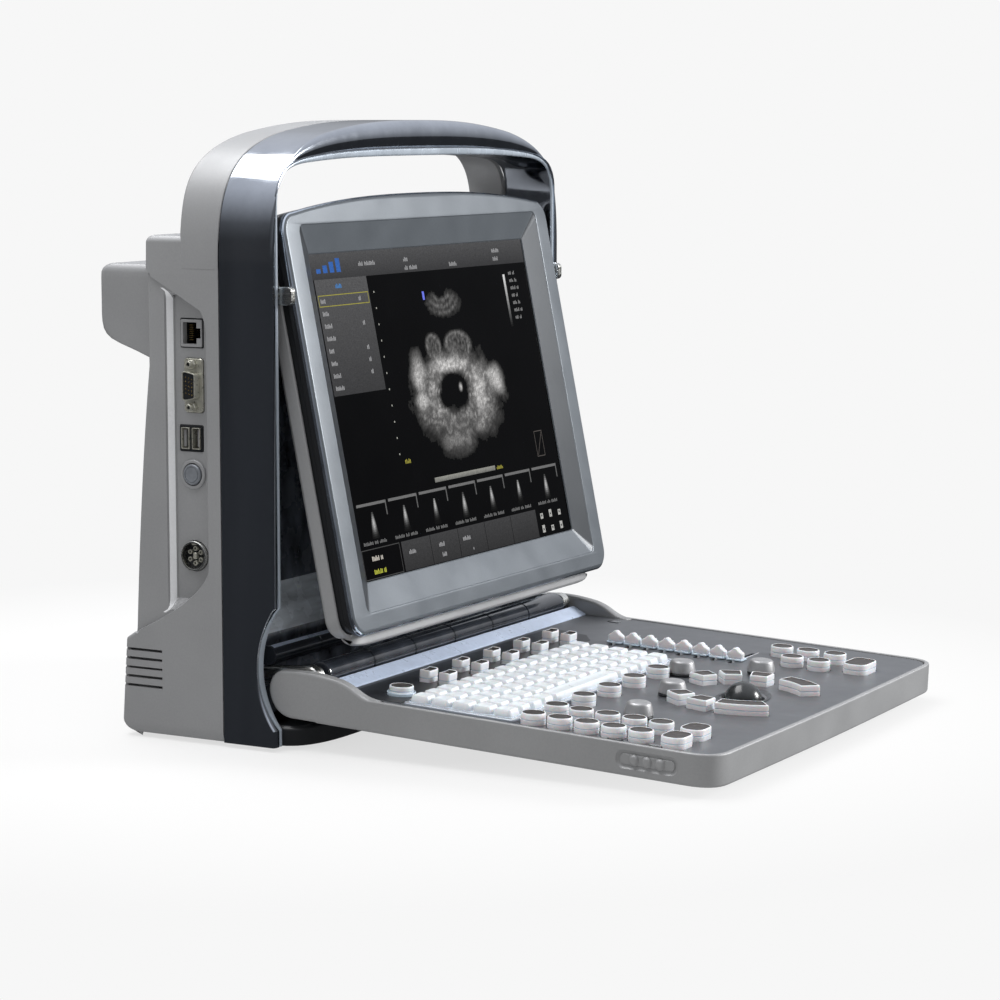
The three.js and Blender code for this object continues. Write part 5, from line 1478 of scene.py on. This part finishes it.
BATTERY_HALF = 152
BATTERY_ROWS = [(209.2, 85.4, 0.4), (211, 90.6, 0), (215, 102.2, 0), (219, 113.8, 0), (221.5, 119.6, 0),
                (224, 122.8, 0), (227, 124.8, 0), (231, 125.7, 0), (235, 126, 0), (256, 126, 0),
                (259, 125.8, 0), (261, 125.1, 0.5), (262.6, 123.7, 1.5), (263.6, 121.6, 2.8),
                (263.9, 119.6, 4.2)]    # height, depth and inset of the sides


def build_battery_cover():
    cover = Shape(UPRIGHT)
    loops = []
    for z, back, edge in BATTERY_ROWS:
        r = max(0.8, min(5.0, (back - REAR_Y) * 0.45))
        half = BATTERY_HALF - edge
        points = [(-half, REAR_Y - 1.6), (half, REAR_Y - 1.6)] + arc(half - r, back - r, r, 0, 90, 8)
        loops.append([(x, y, z) for x, y in points + arc(-half + r, back - r, r, 90, 180, 8)])
    cover.loft(loops)
    for k in range(6):
        z = 236 + 3.6 * k
        ridge = rounded_rect(-34, 34, z - 0.8, z + 0.8, 0.8, 4)
        cover.prism(ridge, [(1.0, 125.6), (0.3, 126.5), (0.6, 126.8)], "y", 1)
    cover.piece("battery_hump", "main_unit", "silver_plastic", [SILVER, BLACK], ["battery_cover"], 35)


WELL_BACK = 36.0
WELL_ENDS = {-157: 0.4, -156.4: 0.0, 156.4: 0.0, 157: 0.4}   # x, and how far the faces draw in there
WELL_PAINTED_REFLECTION = (57, 84)                  # heights of the slope at its foot that is painted light blue with dark streaks as a reflection
TUBE = (16.6, 47.6, 5.7)                 # y, z and radius of the tube over the cables


def build_well():
    """The glossy bay behind the screen, and the cable tube at its foot."""
    well = Shape(UPRIGHT)
    back = WELL_BACK
    side = [(24, 12), (24, 56)] + bezier((24, 56), (24, 61.5), (26, 66.8), (30, 72), 10)[1:]
    side += bezier((30, 72), (34, 77.5), (back, 86.5), (back, 100), 12)[1:] + [(back, 277.5)]
    loops = []
    for x, edge in WELL_ENDS.items():
        loops.append([(x, y + edge, z) for y, z in side] + [(x, y + 2.5 - edge, z) for y, z in side[::-1]])
    rings = well.loft(loops)
    for face in well.faces_between(rings[1], rings[2]):
        if WELL_PAINTED_REFLECTION[0] < face.calc_center_median().z < WELL_PAINTED_REFLECTION[1]:
            face.material_index = 1
    for k in range(7):
        x = -120 + 40 * k
        well.prism(rounded_rect(x - 9, x + 9, 252, 254, 0.9, 3),
                   [(0, back + 0.2), (0, back - 0.5), (0.3, back - 0.8)], "y")
    well.piece("screen_bay", "main_unit", "dark_gloss", [WELL_BLACK, FOOT_PAINTED_REFLECTION], ["well_panel"], 25)
    tube = Shape(UPRIGHT)
    grooves = [(1.0, -148), (0.2, -147.6), (0, -146.8)]
    for x in (-100, -50, 0, 50, 100):
        grooves += [(0, x - 0.7), (0.4, x - 0.4), (0.4, x + 0.4), (0, x + 0.7)]
    tube.prism(circle(*TUBE, 40), grooves + [(0, 146.8), (0.2, 147.6), (1.0, 148)], "x")
    # A thin strip along the tube's top in the light blue: a painted highlight.
    tube.bar([(13.3, 52.2), (15.2, 52.9), (15.5, 53.4), (12.9, 52.6)], -146, 146, "x", 1)
    tube.piece("cable_tube", "main_unit", "dark_gloss", [BLACK_GLOSS, STRIP_PAINTED_HIGHLIGHT], ["hinge_cover_tube"], 30)


RUBBER_FEET = {"front_left": (-140, 8), "front_right": (140, 8), "rear_left": (-140, 78),
               "rear_right": (140, 78)}
RUBBER_R = 9
RUBBER_PROFILE = [(1.2, -2.5), (0.4, -2.35), (0, -1.8), (0, -0.3), (0.6, -0.1), (0.6, 0.2)]


def build_base():
    """The foot of the case: a bowed front lip with ribs, a plinth under it and four rubber feet."""
    base = Shape(UPRIGHT)
    half = CASE_HALF - LEG - 0.3
    corner = bezier((-half, 2), (-half, -10), (-half + 14, -17), (-half + 44, -17), 10)
    lip = [(-half, 8)] + corner
    lip += [(-x, y) for x, y in lip[::-1]]
    base.prism(lip, [(0.5, 0), (0, 0.5), (0, 8.4), (0.7, 9.8), (2.2, 11)])
    base.bar(rounded_rect(-150, 150, 7, 88, 4), 0.1, 3)
    plinth = rounded_rect(-120, 120, -10, 90, 6)
    base.prism(plinth, [(1.0, -2.5), (0.2, -2.2), (0, -1.6), (0, 0.4)])
    for k in range(8):
        x = -91 + 26 * k
        rib = rounded_rect(x - 9, x + 9, 6.2, 7.4, 0.5, 3)
        base.prism(rib, [(0, -16.9), (0, -17.2), (0.2, -17.35)], "y")
    base.piece("base_plate", "main_unit", "black_plastic", [BLACK], ["base_tray"])
    for name, place in RUBBER_FEET.items():
        foot = Shape(UPRIGHT)
        foot.prism(circle(*place, RUBBER_R), RUBBER_PROFILE)
        foot.piece(f"rubber_foot_{name}", "main_unit", "rubber", [RUBBER], [f"foot_{name}"])


def build_arms_and_brackets():
    for side, place in (("left", LEFT_SIDE), ("right", UPRIGHT)):
        arm = Shape(place)
        arm.prism(rounded_rect(-7.5, 5.5, 244, 254, 2.6),
                  [(0.7, 152.8), (0.1, 153.2), (0, 153.6), (0, 154.7), (0.5, 154.9), (0.5, 155.4),
                   (0, 155.6), (0, 156.7), (0.1, 157.1), (0.7, 157.5)], "x")
        arm.bar(circle(3, 249, 2.5, 20), 157.4, 161.8, "x")
        arm.bar(circle(-3, 249, 2.5, 20), 147.2, 152.9, "x")
        arm.piece(f"tilt_arm_{side}", "screen_arms", "steel", [STEEL], [f"screen_arm_{side}"])
        bracket = Shape(place)
        outline = [(23.6, 32), (23.6, 41)] + arc(-12, 38, 6, 90, 270, 12)
        bracket.prism(outline, [(0.6, 142), (0, 142.6), (0, 149.2), (0.6, 149.8)], "x")
        bracket.bar(circle(-12, 38, 3, 20), 149.6, 155.8, "x", 0, 0.4)
        bracket.piece(f"fold_bracket_{side}", "main_unit", "steel", [STEEL], [f"hinge_bracket_{side}"])


def finish_inside():
    """The CAD pieces inside the case keep their shapes and get their finishes."""
    finishes = {"main_board": BOARD, "panel_board": BOARD, "power_supply": STEEL, "fan_housing": BLACK,
                "fan_rotor": BLACK, "battery_pack": BLACK}
    for name, material in finishes.items():
        node = frame["nodes"][name]
        node.data.materials.clear()
        node.data.materials.append(material)


def build_case():
    build_port_panel()
    build_lan()
    build_vga()
    build_usb()
    build_button_and_inlet()
    build_probe_side()
    build_battery_cover()
    build_well()
    build_base()
    build_arms_and_brackets()
    finish_inside()


# ---- studio --------------------------------------------------------------------------------------
PALE = 0.930                             # the backdrop's brightness
SKY = [(0.0, 0.03), (0.47, 0.05), (0.55, 0.12), (0.64, 0.34), (0.8, 0.75), (1.0, 1.0)]
SKY_TINT = (0.95, 0.98, 1.05)
SKY_LEAN = 0.22                          # the sky's bright half leans towards +x
FILL = 0.64                              # light from all round for the matt surfaces
MIRRORED_FLOOR = (0.034, 0.036, 0.040, 1)
LIGHTS = {
    "overhead": {"place": (-0.15, 0.35, 1.5), "target": (0, 0, 0.2), "size": (1.5, 0.9), "power": 24},
    "front_right": {"place": (1.6, -2.1, 1.0), "target": (0, 0, 0.15), "size": (0.9, 0.7), "power": 74},
}
LENS = 106.818
EYE = (-1511.331, -886.056, 344.209)
EYE_TURN = (82.694, 0, -61.042)


def area_light(name, place, target, size, power):
    lamp = bpy.data.lights.new(name, "AREA")
    lamp.shape = "RECTANGLE"
    lamp.size, lamp.size_y = size
    lamp.energy = power
    made = add_object(name, lamp)
    made.location = place
    made.rotation_euler = (Vector(target) - Vector(place)).to_track_quat("-Z", "Y").to_euler()


def choose(tree, test, no, yes):
    """One shader or the other, by a test of the light's path."""
    path = add_node(tree, "LightPath").outputs[test]
    return add_node(tree, "MixShader", {0: path, 1: no, 2: yes}).outputs["Shader"]


def build_world():
    """Pale to the camera, and a soft light-to-dark sky for the reflections."""
    world = bpy.data.worlds.new("studio")
    bpy.context.scene.world = world
    world.use_nodes = True
    tree = world.node_tree
    tree.nodes.clear()
    where = add_node(tree, "TexCoord").outputs["Generated"]
    split = add_node(tree, "SeparateXYZ", {"Vector": where})
    lean = add_node(tree, "Math", {0: split.outputs["X"], 1: SKY_LEAN, 2: split.outputs["Z"]},
                    operation="MULTIPLY_ADD")
    height = add_node(tree, "MapRange", {"Value": lean.outputs["Value"], "From Min": -1})
    ramp = add_node(tree, "ValToRGB", {"Fac": height.outputs["Result"]})
    stops = ramp.color_ramp.elements
    stops.remove(stops[1])
    for k, (position, value) in enumerate(SKY):
        stop = stops[0] if k == 0 else stops.new(position)
        stop.position = position
        stop.color = (*[value * tint for tint in SKY_TINT], 1)
    sky = add_node(tree, "Background", {"Color": ramp.outputs["Color"]}).outputs["Background"]
    fill = add_node(tree, "Background", {"Color": (1, 1, 1, 1), "Strength": FILL}).outputs["Background"]
    plain = add_node(tree, "Background", {"Color": (PALE, PALE, PALE, 1)}).outputs["Background"]
    lit = choose(tree, "Is Glossy Ray", fill, sky)
    add_node(tree, "OutputWorld", {"Surface": choose(tree, "Is Camera Ray", lit, plain)})


def build_floor():
    """A pale floor that fades into the backdrop and is darker in the reflections."""
    bm = bmesh.new()
    bmesh.ops.create_circle(bm, cap_ends=True, segments=96, radius=9.0)
    floor = add_mesh("floor", bm)
    bm.free()
    floor.location.z = cad_box[0][2]
    material = bpy.data.materials.new("floor")
    material.use_nodes = True
    tree = material.node_tree
    shader = tree.nodes["Principled BSDF"]
    shader.inputs["Base Color"].default_value = (0.80, 0.80, 0.80, 1)
    shader.inputs["Roughness"].default_value = 0.9
    glow = add_node(tree, "Emission", {"Color": (PALE, PALE, PALE, 1)})
    dark = add_node(tree, "Emission", {"Color": MIRRORED_FLOOR})
    where = add_node(tree, "TexCoord").outputs["Object"]
    length = add_node(tree, "VectorMath", {0: where}, operation="LENGTH")
    fade = add_node(tree, "MapRange", {"Value": length.outputs["Value"], "From Min": 0.2, "From Max": 0.5,
                                       "To Min": 0.72})
    near = add_node(tree, "MixShader", {0: fade.outputs["Result"], 1: shader.outputs["BSDF"],
                                        2: glow.outputs["Emission"]})
    seen = choose(tree, "Is Glossy Ray", near.outputs["Shader"], dark.outputs["Emission"])
    tree.links.new(seen, tree.nodes["Material Output"].inputs["Surface"])
    floor.data.materials.append(material)


def build_studio():
    build_world()
    build_floor()
    for name, light in LIGHTS.items():
        area_light(name, **light)
    camera = bpy.data.cameras.new("camera")
    camera.lens = LENS
    camera.sensor_width = 36
    eye = add_object("camera", camera)
    eye.location = UPRIGHT @ Vector(EYE)
    eye.rotation_euler = [math.radians(turn) for turn in EYE_TURN]
    bpy.context.scene.camera = eye
    bpy.context.scene.view_settings.view_transform = "Standard"


build_frame()
build_housing()
build_screen()
build_panel()
build_case()
build_studio()
